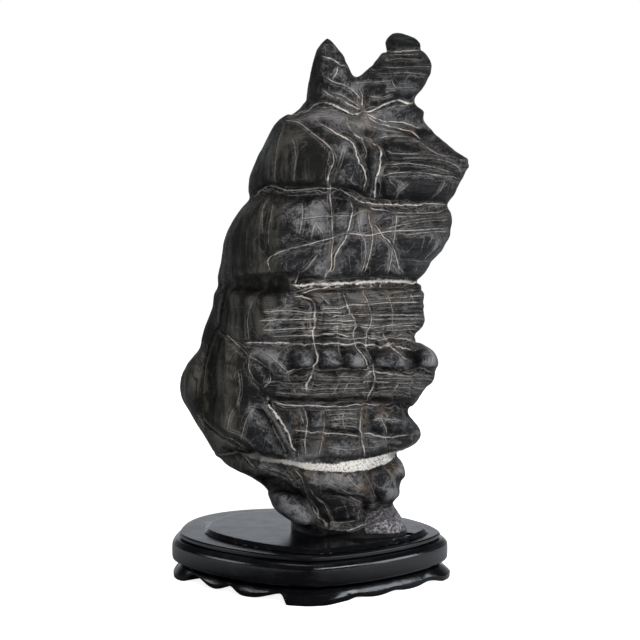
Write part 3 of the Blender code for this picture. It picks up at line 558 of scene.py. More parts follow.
# %% Place points in the drawing
EDGE_ON = 0.12
BACK_DRIFT_START, BACK_DRIFT_FULL = 10 * MM, 60 * MM
BACK_SHIFT_ACROSS, BACK_SHIFT_DOWN = 16.0, 6.0


def middle_plane(points, normals):
    """The plane through the stone's outline, fitted to the points that the camera sees edge on."""
    sight = points - np.array(CAMERA_PLACE)
    sight /= np.linalg.norm(sight, axis=1)[:, None]
    rim = np.abs((sight * normals).sum(axis=1)) < EDGE_ON
    sides = np.c_[np.ones(rim.sum()), points[rim][:, (0, 2)]]
    return np.linalg.lstsq(sides, points[rim, 1], rcond=None)[0]


def fold_to_front(points, plane):
    """The points with those behind the middle plane mirrored to its front, and how far each was behind."""
    middle = plane[0] + points[:, 0] * plane[1] + points[:, 2] * plane[2]
    behind = points[:, 1] - middle
    folded = points.copy()
    folded[:, 1] = middle - np.abs(behind)
    return folded, behind


def to_picture(points):
    """Column and row of each point in the photograph's frame."""
    away = points - np.array(CAMERA_PLACE)
    ahead = away[:, 1] * math.cos(LOOKING_DOWN) - away[:, 2] * math.sin(LOOKING_DOWN)
    above = away[:, 1] * math.sin(LOOKING_DOWN) + away[:, 2] * math.cos(LOOKING_DOWN)
    half = FRAME_PIXELS / 2
    return np.c_[half + FOCAL_PIXELS * away[:, 0] / ahead, half - FOCAL_PIXELS * above / ahead]


def drawing_places(points, normals):
    """Where each point of the stone falls in the drawing, with the back bent away from the front."""
    folded, behind = fold_to_front(points, middle_plane(points, normals))
    places = to_picture(folded)
    drift = smoothstep(BACK_DRIFT_START, BACK_DRIFT_FULL, behind)
    places[:, 0] += drift * BACK_SHIFT_ACROSS * noise(points, 70 * MM, 3)
    places[:, 1] += drift * BACK_SHIFT_DOWN * noise(points, 90 * MM, 4)
    return places, drift


rock_points = read_points(stone)
rock_normals = read_points(stone, "normal")
places, on_back = drawing_places(rock_points, rock_normals)
print("drawing columns", places[:, 0].min().round(), "to", places[:, 0].max().round())


# %% [markdown]
# ## Distance to a vein
# Every vein is made a smooth curve through its points. For each point of the stone near it, the
# distance to the curve is measured, with a sign for the side it lies on. Where the stone's face
# turns away from the camera, the distance is stretched back to its true length, so that a vein
# stays as thin on the sides as on the front.

# %% Smooth a vein's line, and measure from it
CURVE_STEPS = 6
MM_PER_PIXEL = 0.92
WOBBLE, WOBBLE_SIZE = 0.34, 13 * MM
JITTER, JITTER_SIZE = 0.22, 3.5 * MM
LEAST_FACING = 0.12
ZERO_LENGTH = 1e-9


def smooth_line(corners):
    """More points along a line, on a curve through its corners."""
    corners = np.array(corners, dtype=float)
    padded = np.vstack([2 * corners[0] - corners[1], corners, 2 * corners[-1] - corners[-2]])
    line = []
    for before, start, end, after in zip(padded, padded[1:], padded[2:], padded[3:]):
        for share in np.arange(CURVE_STEPS) / CURVE_STEPS:
            line.append(0.5 * (2 * start + (end - before) * share
                               + (2 * before - 5 * start + 4 * end - after) * share ** 2
                               + (3 * start - before - 3 * end + after) * share ** 3))
    line.append(corners[-1])
    return np.array(line)


def measure(line, where):
    """Signed distance to a line, direction across it, place along it, and the line's length."""
    best = np.full(len(where), np.inf)
    side = np.ones(len(where))
    across = np.zeros((len(where), 2))
    along = np.zeros(len(where))
    lengths = np.linalg.norm(np.diff(line, axis=0), axis=1)
    passed = 0.0
    for start, end, length in zip(line, line[1:], lengths):
        step = (end - start) / max(length, ZERO_LENGTH)
        to_place = where - start
        share = np.clip(to_place @ step, 0, length)
        off = to_place - share[:, None] * step
        gap = np.linalg.norm(off, axis=1)
        near = gap < best
        best[near] = gap[near]
        side[near] = np.sign(to_place[near, 0] * step[1] - to_place[near, 1] * step[0])
        across[near] = (-step[1], step[0])
        along[near] = passed + share[near]
        passed += length
    return best * side, across, along, passed


def true_length(across, normals):
    """How much shorter a step across a vein looks in the drawing than it is on the stone."""
    into_world = np.c_[across[:, 0], np.zeros(len(across)), -across[:, 1]]
    tilt = (into_world * normals).sum(axis=1)
    return np.sqrt(np.clip(1 - tilt ** 2, LEAST_FACING, 1))


def two_way_noise(size, seed):
    """A push across and a push down at each point of the stone."""
    return np.c_[noise(rock_points, size, seed), noise(rock_points, size, seed + 1)]


wobbled = places + WOBBLE * two_way_noise(WOBBLE_SIZE, 11) + JITTER * two_way_noise(JITTER_SIZE, 13)
print("a vein bends by up to", WOBBLE + JITTER, "pixels")


# %% [markdown]
# ## Sorting the veins into sets
# The material will draw each vein sharply from the distance kept at the mesh's points. Two veins
# that lie closer than a few millimetres can't share one distance, so they are sorted into sets in
# which no two are near each other. Veins that cross go into different sets for the same reason.

# %% Sort the veins
VEIN_SETS = 12
SET_CLEARANCE = 9.0


def sort_into_sets(lines):
    """The number of the set that each line goes into."""
    sets = [[] for _ in range(VEIN_SETS)]
    chosen = []
    for line in lines:
        gaps = []
        for members in sets:
            others = [np.linalg.norm(line[:, None] - other[None], axis=2).min() for other in members]
            gaps.append(min(others, default=np.inf))
        free = [number for number, gap in enumerate(gaps) if gap > SET_CLEARANCE]
        number = free[0] if free else int(np.argmax(gaps))
        sets[number].append(line)
        chosen.append(number)
    return chosen


vein_lines = [smooth_line(vein[3]) for vein in VEINS]
set_of_vein = sort_into_sets(vein_lines)
print("veins in each set:", [set_of_vein.count(number) for number in range(VEIN_SETS)])


# %% [markdown]
# ## Measuring the veins
# The points of the stone near a vein keep their distance to it, its tone and its half width. Its
# groove is deepest on the line itself. Under an open joint a slot is carved, and painted shade is laid
# there too, as under an overhanging layer. Only the points in a box around each vein are measured,
# which keeps this quick.

# %% Measure every vein
REACH = 30.0
DRAWN_REACH = 3.6
FADE_AT_END, KEPT_AT_END = 5.0, 0.5
USUAL_HALF = 0.5
GROOVE_HALF = 1.9
OPEN_DEPTH = 0.6
VEIN_END_GAP, JOINT_END_GAP = 8, 12
SLOT_REACH = 2.4
SLOT_STARTS, SLOT_LIP = -0.8, 0.6
SLOT_LEAST, SLOT_PER_MM = 0.45, 0.3

point_count = len(rock_points)
vein_gap = np.full((VEIN_SETS, point_count), DRAWN_REACH)
vein_tone = np.zeros((VEIN_SETS, point_count))
vein_half = np.full((VEIN_SETS, point_count), USUAL_HALF)
groove = np.zeros(point_count)
slot_and_shade = np.zeros(point_count)
nearest_joint = np.full(point_count, REACH)
nearest_vein = np.full(point_count, REACH)

for (tone, half_width, depth_mm, corners), line, number in zip(VEINS, vein_lines, set_of_vein):
    low, high = line.min(axis=0) - REACH, line.max(axis=0) + REACH
    close = np.where(((wobbled > low) & (wobbled < high)).all(axis=1))[0]
    gap, across, along, total = measure(line, wobbled[close])
    on_line = smoothstep(0, FADE_AT_END, np.minimum(along, total - along) + KEPT_AT_END)
    real_gap = gap * MM_PER_PIXEL / true_length(across, rock_normals[close])
    size = np.abs(real_gap)
    nearer = size < np.abs(vein_gap[number, close])
    target = close[nearer]
    vein_gap[number, target] = real_gap[nearer]
    vein_tone[number, target] = tone * on_line[nearer]
    vein_half[number, target] = half_width
    carved_here = depth_mm * on_line * np.exp(-(size / GROOVE_HALF) ** 2)
    groove[close] = np.maximum(groove[close], carved_here)
    nearest_vein[close] = np.minimum(nearest_vein[close], size + (1 - on_line) * VEIN_END_GAP)
    if depth_mm >= OPEN_DEPTH:
        nearest_joint[close] = np.minimum(nearest_joint[close], size + (1 - on_line) * JOINT_END_GAP)
        # Painted shade under the open joint, kept for the material as well as carved.
        under = smoothstep(-SLOT_REACH * depth_mm, SLOT_STARTS, real_gap)
        under *= smoothstep(SLOT_LIP, -SLOT_LIP, real_gap)
        strength = min(1.0, SLOT_LEAST + SLOT_PER_MM * depth_mm)
        slot_and_shade[close] = np.maximum(slot_and_shade[close], under * on_line * strength)
print("deepest groove", round(float(groove.max()), 2), "mm")


# %% [markdown]
# ## Zones
# The photograph shows a few kinds of rock. The left face is smooth and streaked up and down. The
# middle layers are thin ledges. A band of white crust crosses the stone near its foot, and a rough
# wedge of sparkling rock stands at its right. Each zone is a mask from 0 to 1, or a distance from
# the zone's edge, which the material can cut sharply.

# %% Edges of the zones, as columns and rows of the photograph
LEFT_FACE_EDGE = [(318, 60), (318, 92), (284, 118), (318, 140), (326, 175), (286, 195), (282, 215),
                  (276, 250), (284, 285), (268, 330), (248, 356), (246, 400), (250, 440), (250, 480)]
CRUST_TOP = [(238, 455), (256, 456.7), (274, 460.2), (303, 463.3), (331, 464.3), (344, 462.2),
             (364, 460.2), (384.5, 456), (398, 453), (406, 450)]
CRUST_BOTTOM = [(238, 456), (260, 461.2), (286, 464.3), (307, 468.6), (331, 470.4), (350, 471.4),
                (368, 467.8), (384.5, 463.3), (397, 457), (406, 453)]
WEDGE = [(364, 533), (362, 522), (371, 517), (397, 505), (402, 512), (406, 531), (396, 536)]
# Bands of thin layers: strength, rows where they fade in and out, columns where they fade in
LAYER_BANDS = [(1.0, 284, 290, 340, 346, 268, 306), (1.0, 372, 376, 398, 404, 262, 285),
               (0.6, 130, 136, 176, 182, 378, 388)]
print(len(LAYER_BANDS), "bands of thin layers")

# %% Patches of tan stain, painted shade and painted highlight: middle, half width, half height, and strength where it is below 1
TAN_PATCHES = [(362, 113, 5, 11), (366, 125, 5, 12), (371, 141, 6, 4), (368, 208, 6, 5),
               (331, 262, 3, 12), (325, 291, 12, 6), (362, 294, 7, 9), (368, 305, 6, 6),
               (388, 290, 8, 6), (398, 299, 5, 7), (398, 350, 9, 5), (363, 415, 4, 14),
               (384, 411, 7, 5), (372, 222, 4, 10), (306, 335, 5, 4), (302, 474, 14, 4),
               (362, 490, 8, 9), (340, 474, 12, 4), (366, 478, 4, 10), (392, 470, 5, 8),
               (296, 420, 3, 9), (322, 440, 6, 10), (410, 129, 4, 5)]
# Painted shade: these patches stand where the stone lies in shade, in recesses, under ledges, on faces
# turned from the light and at the socket.
PAINTED_SHADE_PATCHES = [(315, 154, 9, 24, 0.9), (313, 74, 8, 24, 0.9), (320, 85, 9, 8), (396, 144, 17, 4),
                (397, 156, 13, 4, 0.8), (368, 166, 5, 15, 0.7), (343, 165, 6, 14, 0.6),
                (368, 131, 5, 3), (258, 289, 34, 7, 0.9), (247, 396, 26, 7, 0.7),
                (432, 215, 14, 16, 0.8), (428, 192, 20, 14, 0.7), (425, 262, 24, 20, 0.8),
                (232, 232, 12, 50, 0.6), (211, 345, 6, 48, 0.7), (395, 318, 26, 14, 0.6),
                (416, 360, 8, 22, 0.7), (405, 425, 12, 22, 0.7), (342, 512, 20, 11, 0.5),
                (382, 480, 10, 14, 0.5), (402, 60, 20, 12, 0.6), (398, 97, 16, 8, 0.7),
                (240, 452, 18, 5, 0.8), (352, 425, 22, 5, 0.6), (270, 240, 20, 30, 0.5),
                (335, 212, 20, 8, 0.6), (240, 318, 18, 12, 0.6), (450, 172, 12, 14, 0.6),
                (396, 150, 14, 6, 0.7), (300, 440, 10, 16, 0.5), (405, 62, 45, 34, 0.8),
                (338, 78, 20, 34, 0.4), (425, 155, 45, 34, 0.7), (342, 165, 26, 34, 0.35),
                (304, 536, 22, 4), (330, 539, 34, 4), (420, 193, 34, 13), (350, 392, 84, 13, 0.45)]
# Painted highlights: these patches stand where the light catches the rounded lobes, the pillows and the
# toe.
PAINTED_HIGHLIGHT_PATCHES = [(308, 362, 7, 6), (331, 361, 8, 7), (358, 362, 7, 7), (405, 365, 7, 6),
                (430, 362, 6, 6), (307, 520, 11, 9), (288, 507, 24, 12), (302, 515, 16, 12),
                (391, 493, 7, 8), (398, 470, 4, 5), (300, 252, 14, 7), (322, 210, 12, 5),
                (343, 146, 9, 9), (366, 124, 30, 15), (330, 114, 30, 7), (400, 122, 18, 6),
                (300, 455, 12, 6), (284, 432, 10, 8), (352, 300, 30, 8), (335, 480, 20, 7),
                (396, 515, 14, 8), (262, 352, 12, 8)]
print(len(TAN_PATCHES), "tan,", len(PAINTED_SHADE_PATCHES), "dark and", len(PAINTED_HIGHLIGHT_PATCHES), "pale patches")

# %% Rounded lobes set off by a moat: middle, half width, half height, turn in degrees, depth in mm
LOBES = [(303, 359.5, 13, 14.5, 0, 2.3), (329, 359.5, 13, 14.5, 0, 2.2), (356, 359.5, 13, 14.5, 0, 2.5),
         (391, 359, 19, 14.5, 0, 2.6), (427, 358, 14, 15, 0, 2.0), (384, 486, 15, 22, -24, 2.4),
         (398, 470, 8, 13, -10, 1.6), (290, 510, 31, 12.5, 34, 4.0), (342, 512, 22, 12, 0, 2.2),
         (391, 423, 20, 14, 0, 1.4), (343, 422, 18, 14, 0, 1.2), (315, 420, 11, 13, 0, 1.2),
         (344, 165, 18, 30, -6, 1.6), (290, 160, 30, 36, -4, 1.4), (373, 165, 9, 34, 0, 1.2)]
LOBE_SQUARENESS = 3.0
MOAT_INSIDE, MOAT_OUTSIDE = 0.30, 0.26
MOAT_SHADE, MOAT_SHADE_MOST = 0.2, 0.45
SWELL = 1.3
print(len(LOBES), "lobes")

# %% Masks of the zones
LEFT_FACE_BLEND = 5

column, row = wobbled[:, 0], wobbled[:, 1]


def patch(middle_x, middle_y, half_x, half_y, strength=1.0):
    """A soft round patch, strongest in its middle."""
    return strength * np.exp(-((column - middle_x) / half_x) ** 2 - ((row - middle_y) / half_y) ** 2)


def all_patches(table):
    """The strongest of a table's patches at each point."""
    return np.max([patch(*numbers) for numbers in table], axis=0)


def lobe_radius(middle_x, middle_y, half_x, half_y, turn):
    """0 in the middle of a lobe, 1 on its edge."""
    across, down = column - middle_x, row - middle_y
    along_x = across * math.cos(turn) + down * math.sin(turn)
    along_y = down * math.cos(turn) - across * math.sin(turn)
    powers = np.abs(along_x / half_x) ** LOBE_SQUARENESS + np.abs(along_y / half_y) ** LOBE_SQUARENESS
    return powers ** (1 / LOBE_SQUARENESS)


def layer_band(strength, top, top_full, bottom_full, bottom, left, left_full):
    """A band of thin layers that fades out above, below and at its left end."""
    down = smoothstep(top, top_full, row) * (1 - smoothstep(bottom_full, bottom, row))
    return strength * down * smoothstep(left, left_full, column)


def edge_at(edge):
    """The row of an edge above or below each point."""
    edge_columns, edge_rows = np.array(edge).T
    return np.interp(column, edge_columns, edge_rows)


def inside_shape(where, corners):
    """Distance in pixels to a closed shape's edge, above 0 inside it."""
    ring = np.array(corners + corners[:1], dtype=float)
    gap = np.abs(measure(ring, where)[0])
    inside = np.zeros(len(where), dtype=bool)
    for (x0, y0), (x1, y1) in zip(ring, ring[1:]):
        crosses = (y0 > where[:, 1]) != (y1 > where[:, 1])
        if y0 != y1:
            inside ^= crosses & (where[:, 0] < x0 + (where[:, 1] - y0) * (x1 - x0) / (y1 - y0))
    return np.where(inside, gap, -gap)


face_columns, face_rows = np.array(LEFT_FACE_EDGE, dtype=float).T
from_left_edge = np.interp(row, face_rows, face_columns) - column
left_face = smoothstep(-LEFT_FACE_BLEND, LEFT_FACE_BLEND, from_left_edge)
layers = sum(layer_band(*band) for band in LAYER_BANDS)
crust = np.minimum(row - edge_at(CRUST_TOP), edge_at(CRUST_BOTTOM) - row)
wedge = inside_shape(wobbled, WEDGE)
# Tan stains are the rock's own colour; the dark patches are painted shade and the pale ones painted
# highlights.
tan, painted_shade, painted_highlight = all_patches(TAN_PATCHES), all_patches(PAINTED_SHADE_PATCHES), all_patches(PAINTED_HIGHLIGHT_PATCHES)
moat = np.zeros(point_count)
swell = np.zeros(point_count)
for middle_x, middle_y, half_x, half_y, turn, depth_mm in LOBES:
    radius = lobe_radius(middle_x, middle_y, half_x, half_y, math.radians(turn))
    width = np.where(radius < 1, MOAT_INSIDE, MOAT_OUTSIDE)
    moat = np.maximum(moat, depth_mm * np.exp(-((radius - 1) / width) ** 2))
    swell = np.maximum(swell, SWELL * depth_mm * np.clip(1 - radius ** 2, 0, 1) * (on_back < 0.5))
# Painted shade in the moat round each lobe, added to the painted shade patches.
painted_shade = np.maximum(painted_shade, np.minimum(MOAT_SHADE * moat, MOAT_SHADE_MOST))
print("left face covers", round(float(left_face.mean()), 2), "of the stone")


# %% [markdown]
# ## Carving the relief
# Most pushes go inwards, and the result is stretched by under one part in a hundred, so that it
# fills the CAD solid's box again. Rock swells into a pillow between its joints and dips at each
# one. The thin layers step in and out, the left face has long shallow flutes, and a fine
# unevenness lies over everything. The foot, which stands in its socket, isn't carved.

# %% Push the skin inwards
PILLOW = 4.0 * MM
PILLOW_SPREAD = 6.0
SLOT_DEPTH = 1.4 * MM
LEDGE = 2.8 * MM
FLUTE = 0.7 * MM
CRUST_ROUGH = 1.1 * MM
LUMP, GRAIN = 1.5 * MM, 0.6 * MM
FOOT_FLAT = 43.0 * MM
FOOT_BLEND = 6 * MM


def less_on_left(share):
    """1 on the front, and less by a share on the smooth left face."""
    return 1 - share * left_face


flat_places = np.c_[column, row, np.zeros(point_count)]
ledges = noise(flat_places, (60, 4.2, 1), 21) + 0.5 * noise(flat_places, (24, 2.6, 1), 22)
broad_flutes = noise(rock_points, (9 * MM, 9 * MM, 110 * MM), 31)
flutes = broad_flutes + 0.6 * noise(rock_points, (4 * MM, 4 * MM, 60 * MM), 32)
lumps = noise(rock_points, 16 * MM, 41)
grain = noise(rock_points, 5 * MM, 42) + 0.7 * noise(rock_points, 3 * MM, 43)
crusted = smoothstep(-1.5, 0.5, crust)
wedged = smoothstep(-1, 1, wedge)
rough = np.maximum(crusted, wedged) * (0.5 + 0.5 * noise(rock_points, 2.6 * MM, 51))

inwards = (PILLOW * np.exp(-nearest_joint / PILLOW_SPREAD) * less_on_left(0.55)
           + groove * MM
           + SLOT_DEPTH * slot_and_shade
           + (moat - swell) * MM
           + LEDGE * layers * (0.5 + 0.33 * ledges) * less_on_left(0.7)
           + FLUTE * left_face * (0.5 + 0.3 * flutes)
           + LUMP * (0.5 + 0.5 * lumps) * less_on_left(0.5)
           + GRAIN * (0.5 + 0.3 * grain) * less_on_left(0.6)
           + CRUST_ROUGH * rough)
near_foot = smoothstep(FOOT_FLAT, FOOT_FLAT + FOOT_BLEND, rock_points[:, 2])
carved = rock_points - rock_normals * (inwards * near_foot)[:, None]
lowest, highest = np.array(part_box("stone"))
carved = np.clip(carved, lowest, highest)
for axis in (0, 2):
    start, end = carved[:, axis].min(), carved[:, axis].max()
    share = (carved[:, axis] - start) / (end - start)
    carved[:, axis] = lowest[axis] + share * (highest[axis] - lowest[axis])
write_points(stone, carved)
pick(stone)
bpy.ops.object.shade_smooth()
print("carved", round(float(inwards.mean()) / MM, 2), "mm deep on average")


# %% [markdown]
# ## What the mesh keeps
# A material can't know how the stone was shaped. So the numbers that it needs are kept at the mesh's
# points, three to a name, and the material reads them between the points as well. A picture wrapped
# round the stone could hold them too, but it would blur, and it would need a seam.

# %% Keep what the material needs at the mesh's points
HAZE_SPREAD = 6.0
FULL_DEPTH = 3.2 * MM

for number in range(VEIN_SETS):
    store(stone, f"veins_{number}", np.c_[vein_gap[number], vein_tone[number], vein_half[number]])
store(stone, "zones", np.c_[left_face, np.clip(layers, 0, 1), tan])
store(stone, "edges", np.c_[crust, wedge, np.exp(-nearest_vein / HAZE_SPREAD)])
hollow = np.clip(inwards / FULL_DEPTH, 0, 1)
store(stone, "drawn", np.c_[column / FRAME_PIXELS, row / FRAME_PIXELS, hollow])
# Painted shade under the open joints, painted shade patches and painted highlight patches.
store(stone, "painted_light", np.c_[slot_and_shade, np.clip(painted_shade, 0, 1), painted_highlight])
print("the mesh keeps", len(stone.data.attributes), "sets of numbers")


# %% [markdown]
# ## Writing materials
# A material is a small network of nodes. These helpers add a node, set its sockets and link its
# inputs in one line, so that each finish below reads as a recipe.

# %% Node helpers
class Recipe:
    """A material's nodes, added one line at a time."""

    def __init__(self, name):
        self.material = bpy.data.materials.new(name)
        self.material.use_nodes = True
        self.tree = self.material.node_tree
        self.surface = self.tree.nodes["Principled BSDF"]

    def give(self, socket, value):
        """Set or link an input of the material's surface."""
        feed(self.tree, self.surface.inputs[socket], value)

    def add(self, kind, inputs=None, **settings):
        """A new node's outputs."""
        return add_node(self.tree, kind, inputs, **settings).outputs

    def maths(self, operation, first, second=0.0, third=0.0, clamp=False):
        inputs = {0: first, 1: second, 2: third}
        return self.add("Math", inputs, operation=operation, use_clamp=clamp)[0]

    def distance(self, value, centre):
        """How far a value is from a centre, on either side."""
        return self.maths("ABSOLUTE", self.maths("SUBTRACT", value, centre))

    def product(self, first, *others):
        for value in others:
            first = self.maths("MULTIPLY", first, value)
        return first

    def largest(self, first, *others):
        for value in others:
            first = self.maths("MAXIMUM", first, value)
        return first

    def total(self, *parts):
        """The sum of values, each given with its weight."""
        result = 0.0
        for value, weight in parts:
            result = self.maths("MULTIPLY_ADD", value, weight, result)
        return result

    def less(self, share, amount):
        """1 where share is 0, and less by the amount where it is 1."""
        return self.maths("MULTIPLY_ADD", share, -amount, 1.0)

    def ramp(self, value, low, high, to_low=0.0, to_high=1.0):
        """A smooth step from to_low to to_high as value goes from low to high."""
        inputs = {0: value, 1: low, 2: high, 3: to_low, 4: to_high}
        return self.add("MapRange", inputs, interpolation_type="SMOOTHSTEP")[0]

    def isolines(self, value, level, width):
        """Thin lines where a noise crosses a level."""
        return self.ramp(self.distance(value, level), width * 0.35, width, 1.0, 0.0)

    def blend(self, share, first, second, way="MIX"):
        inputs = {"Factor": share, 6: first, 7: second}
        return self.add("Mix", inputs, data_type="RGBA", blend_type=way)[2]

    def place(self, scale=(1, 1, 1), turn=0.0):
        """Object coordinates, turned about the Y axis and then stretched by scale."""
        coordinates = self.add("TexCoord")["Object"]
        turned = self.add("Mapping", {"Vector": coordinates, "Rotation": (0, turn, 0)})[0]
        return self.add("Mapping", {"Vector": turned, "Scale": scale})[0]

    def grain(self, place, scale, detail=3.0, rough=0.55, twist=0.0):
        look = {"Scale": scale, "Detail": detail, "Roughness": rough, "Distortion": twist}
        return self.add("TexNoise", {"Vector": place, **look})["Fac"]

    def blocks(self, place, scale):
        """One even tone from 0 to 1 for each block of rock, set at random."""
        colour = self.add("TexVoronoi", {"Vector": place, "Scale": scale})["Color"]
        return self.add("SeparateColor", {0: colour})[0]

    def apart(self, vector):
        """The three numbers of a vector."""
        return self.add("SeparateXYZ", {0: vector})

    def stored(self, name):
        """The three numbers that a mesh keeps under a name."""
        return self.apart(self.add("Attribute", attribute_name=name)["Vector"])

    def relief(self, *layers):
        """Bumps laid one over another, each given as its height, distance and strength."""
        under = {}
        for height, distance, strength in layers:
            shape = {"Height": height, "Distance": distance, "Strength": strength}
            under = {"Normal": self.add("Bump", {**shape, **under})[0]}
        self.give("Normal", under["Normal"])


def coat(piece, recipe):
    """Give a piece one material."""
    piece.data.materials.clear()
    piece.data.materials.append(recipe.material)


# %% [markdown]
# ## The stone's finish
# The rock is charcoal grey, with a chalky mottling that gathers near the veins. The left face is
# browner and streaked from top to bottom. Over that lie the thin layers' pale lines, a net of
# hairline scratches, the veins, the tan stains at the cracks, the white crust and the sparkling
# wedge, in that order.

# %% Ground colours of the rock
rock = Recipe("veined_stone")
DEEP_CHARCOAL = (0.0075, 0.008, 0.0095, 1)
CHALKY_GREY = (0.20, 0.20, 0.208, 1)
BROWN_BLACK = (0.007, 0.0066, 0.0052, 1)
BROWN_GREY = (0.071, 0.068, 0.058, 1)
BRUSH_TURN = math.radians(38)
BRUSH_STRETCH = (0.25, 0.6, 1.0)
BLOCK_STRETCH = (1.0, 1.0, 1.7)
STREAK_STRETCH = (1.0, 1.0, 0.07)

left_mask, layer_mask, tan_mask = rock.stored("zones")
crust_edge, wedge_edge, haze_mask = rock.stored("edges")
drawn_column, drawn_row, hollow_mask = rock.stored("drawn")
# Painted shade and painted highlights, read from the mesh's points.
slot_shade_mask, painted_shade_mask, painted_highlight_mask = rock.stored("painted_light")


def brush_marks_at(turn):
    """Fine marks, as of a dry brush, all at one slant."""
    return rock.grain(rock.place(BRUSH_STRETCH, turn), 430, detail=5, rough=0.75, twist=0.5)


here = rock.place()
clouds = rock.grain(here, 34, detail=5, rough=0.62)
patches = rock.grain(here, 130, detail=8, rough=0.78, twist=0.6)
flecks = rock.grain(here, 480, detail=4, rough=0.75)
specks = rock.grain(here, 900, detail=2, rough=0.6)
block_tone = rock.blocks(rock.place(BLOCK_STRETCH), 36)
which_way = rock.ramp(block_tone, 0.35, 0.65)
brushed = rock.total((brush_marks_at(BRUSH_TURN), which_way),
                     (brush_marks_at(-BRUSH_TURN), rock.less(which_way, 1.0)))
# The painted highlight patches lighten the chalk, and the painted shade patches darken it.
chalk = rock.total((clouds, 0.32), (patches, 0.34), (brushed, 0.18), (flecks, 0.16), (haze_mask, 0.06),
                   (block_tone, 0.05), (painted_shade_mask, -0.08), (painted_highlight_mask, 0.09), (layer_mask, -0.03))
front_ground = rock.blend(rock.ramp(chalk, 0.515, 0.637), DEEP_CHARCOAL, CHALKY_GREY)

streak_place = rock.place(STREAK_STRETCH)
broad_streaks = rock.grain(streak_place, 95, detail=3, rough=0.55, twist=0.6)
fine_streaks = rock.grain(streak_place, 420, detail=2, rough=0.5)
# The painted shade patches darken the left face's streaks too.
streaks = rock.total((broad_streaks, 0.55), (fine_streaks, 0.15), (clouds, 0.30), (painted_shade_mask, -0.10))
left_ground = rock.blend(rock.ramp(streaks, 0.43, 0.60), BROWN_BLACK, BROWN_GREY)
ground = rock.blend(left_mask, front_ground, left_ground)
print("ground:", len(rock.tree.nodes), "nodes")


# %% [markdown]
# ## The finish of the thin layers
# The middle of the stone is a stack of thin beds, whose edges show as fine pale lines. The dark bands
# and lines between them are painted shade under the beds' steps. Even stripes would look printed. So
# a noise is stretched long across and short down, and a line is drawn wherever it crosses a level,
# which makes lines that wander and break off.

# %% Pale lines of the thin layers, and painted shade of their steps
LAYER_LINE = (0.34, 0.325, 0.31, 1)
# The black of painted shade, and of the open hairline cracks.
SHADE_AND_CRACK_BLACK = (0.006, 0.006, 0.007, 1)
LAYERS_ACROSS, LAYERS_DOWN = 12.0, 150.0
LAYERS_ELSEWHERE = 0.12

lying_flat = {0: rock.product(drawn_column, LAYERS_ACROSS), 1: rock.product(drawn_row, LAYERS_DOWN)}
flat = rock.add("CombineXYZ", lying_flat)[0]
thin_layers = rock.grain(flat, 1.0, detail=2, rough=0.5, twist=0.15)
layer_steps = rock.grain(flat, 0.45, detail=1, rough=0.4, twist=0.1)
broken_up = rock.ramp(patches, 0.40, 0.56)
layered = rock.product(rock.largest(layer_mask, LAYERS_ELSEWHERE), rock.less(left_mask, 0.75))
pale_layers = rock.largest(rock.isolines(thin_layers, 0.48, 0.055), rock.isolines(thin_layers, 0.62, 0.045))
layer_step_shade = rock.largest(rock.ramp(layer_steps, 0.50, 0.58), rock.isolines(thin_layers, 0.55, 0.03))
# Painted shade of the beds' steps.
coloured = rock.blend(rock.product(layer_step_shade, layered, 0.9), ground, SHADE_AND_CRACK_BLACK)
coloured = rock.blend(rock.product(pale_layers, layered, broken_up, 0.65), coloured, LAYER_LINE)
print("with layers:", len(rock.tree.nodes), "nodes")


# %% [markdown]
# ## Hairlines
# Between the veins run far more hairs than could be drawn one by one. The level lines of two soft
# noises stand for them: pale ones where a crack has filled, and dark ones where it is open.

# %% Hairline veins and hairline cracks that wander over the faces
HAIRLINE = (0.26, 0.25, 0.24, 1)
WANDER_STRETCH = (1.0, 1.0, 0.45)

wander = rock.grain(here, 26, detail=1, rough=0.4, twist=0.5)
wander_more = rock.grain(rock.place(WANDER_STRETCH), 47, detail=1, rough=0.4, twist=0.4)
hairs = rock.largest(rock.isolines(wander, 0.50, 0.0055), rock.isolines(wander_more, 0.47, 0.0075))
hair_share = rock.product(hairs, rock.ramp(patches, 0.42, 0.60, 0.05, 0.75), rock.less(left_mask, 0.65))
coloured = rock.blend(hair_share, coloured, HAIRLINE)
cracks = rock.largest(rock.isolines(wander, 0.57, 0.006), rock.isolines(wander_more, 0.54, 0.007))
coloured = rock.blend(rock.product(cracks, 0.8), coloured, SHADE_AND_CRACK_BLACK)
print("with hairlines:", len(rock.tree.nodes), "nodes")


# %% [markdown]
# ## The finish of the veins
# A vein is an old crack that has filled with pale mineral. It has a bright ragged core, a faint smear
# beside it and thin threads that stray from it. All of them are worked out from the distance kept at
# the mesh's points, so they stay sharp however close the view is. Where sets overlap, the strongest
# vein shows.

# %% The veins themselves, each with a painted shadow line just below it
VEIN_GREY = (0.46, 0.43, 0.405, 1)
VEIN_WHITE = (0.80, 0.76, 0.72, 1)
SHADOW_LINE_BELOW = -1.0

ragged = rock.grain(here, 520, detail=3, rough=0.65)
broken = rock.grain(here, 110, detail=3, rough=0.65)
strand_gap = rock.ramp(rock.grain(here, 20, detail=2), 0.38, 0.62, -2.4, 2.4)
other_gap = rock.ramp(rock.grain(here, 31, detail=2), 0.38, 0.62, 3.0, -3.0)
width_here = rock.ramp(ragged, 0.32, 0.68, 0.45, 1.20)
brush_marks = rock.ramp(brushed, 0.45, 0.58)


def strand(gap, centre):
    """A faint thread that wanders from one side of a vein to the other."""
    return rock.ramp(rock.distance(gap, centre), 0.08, 0.36, 0.46, 0.0)


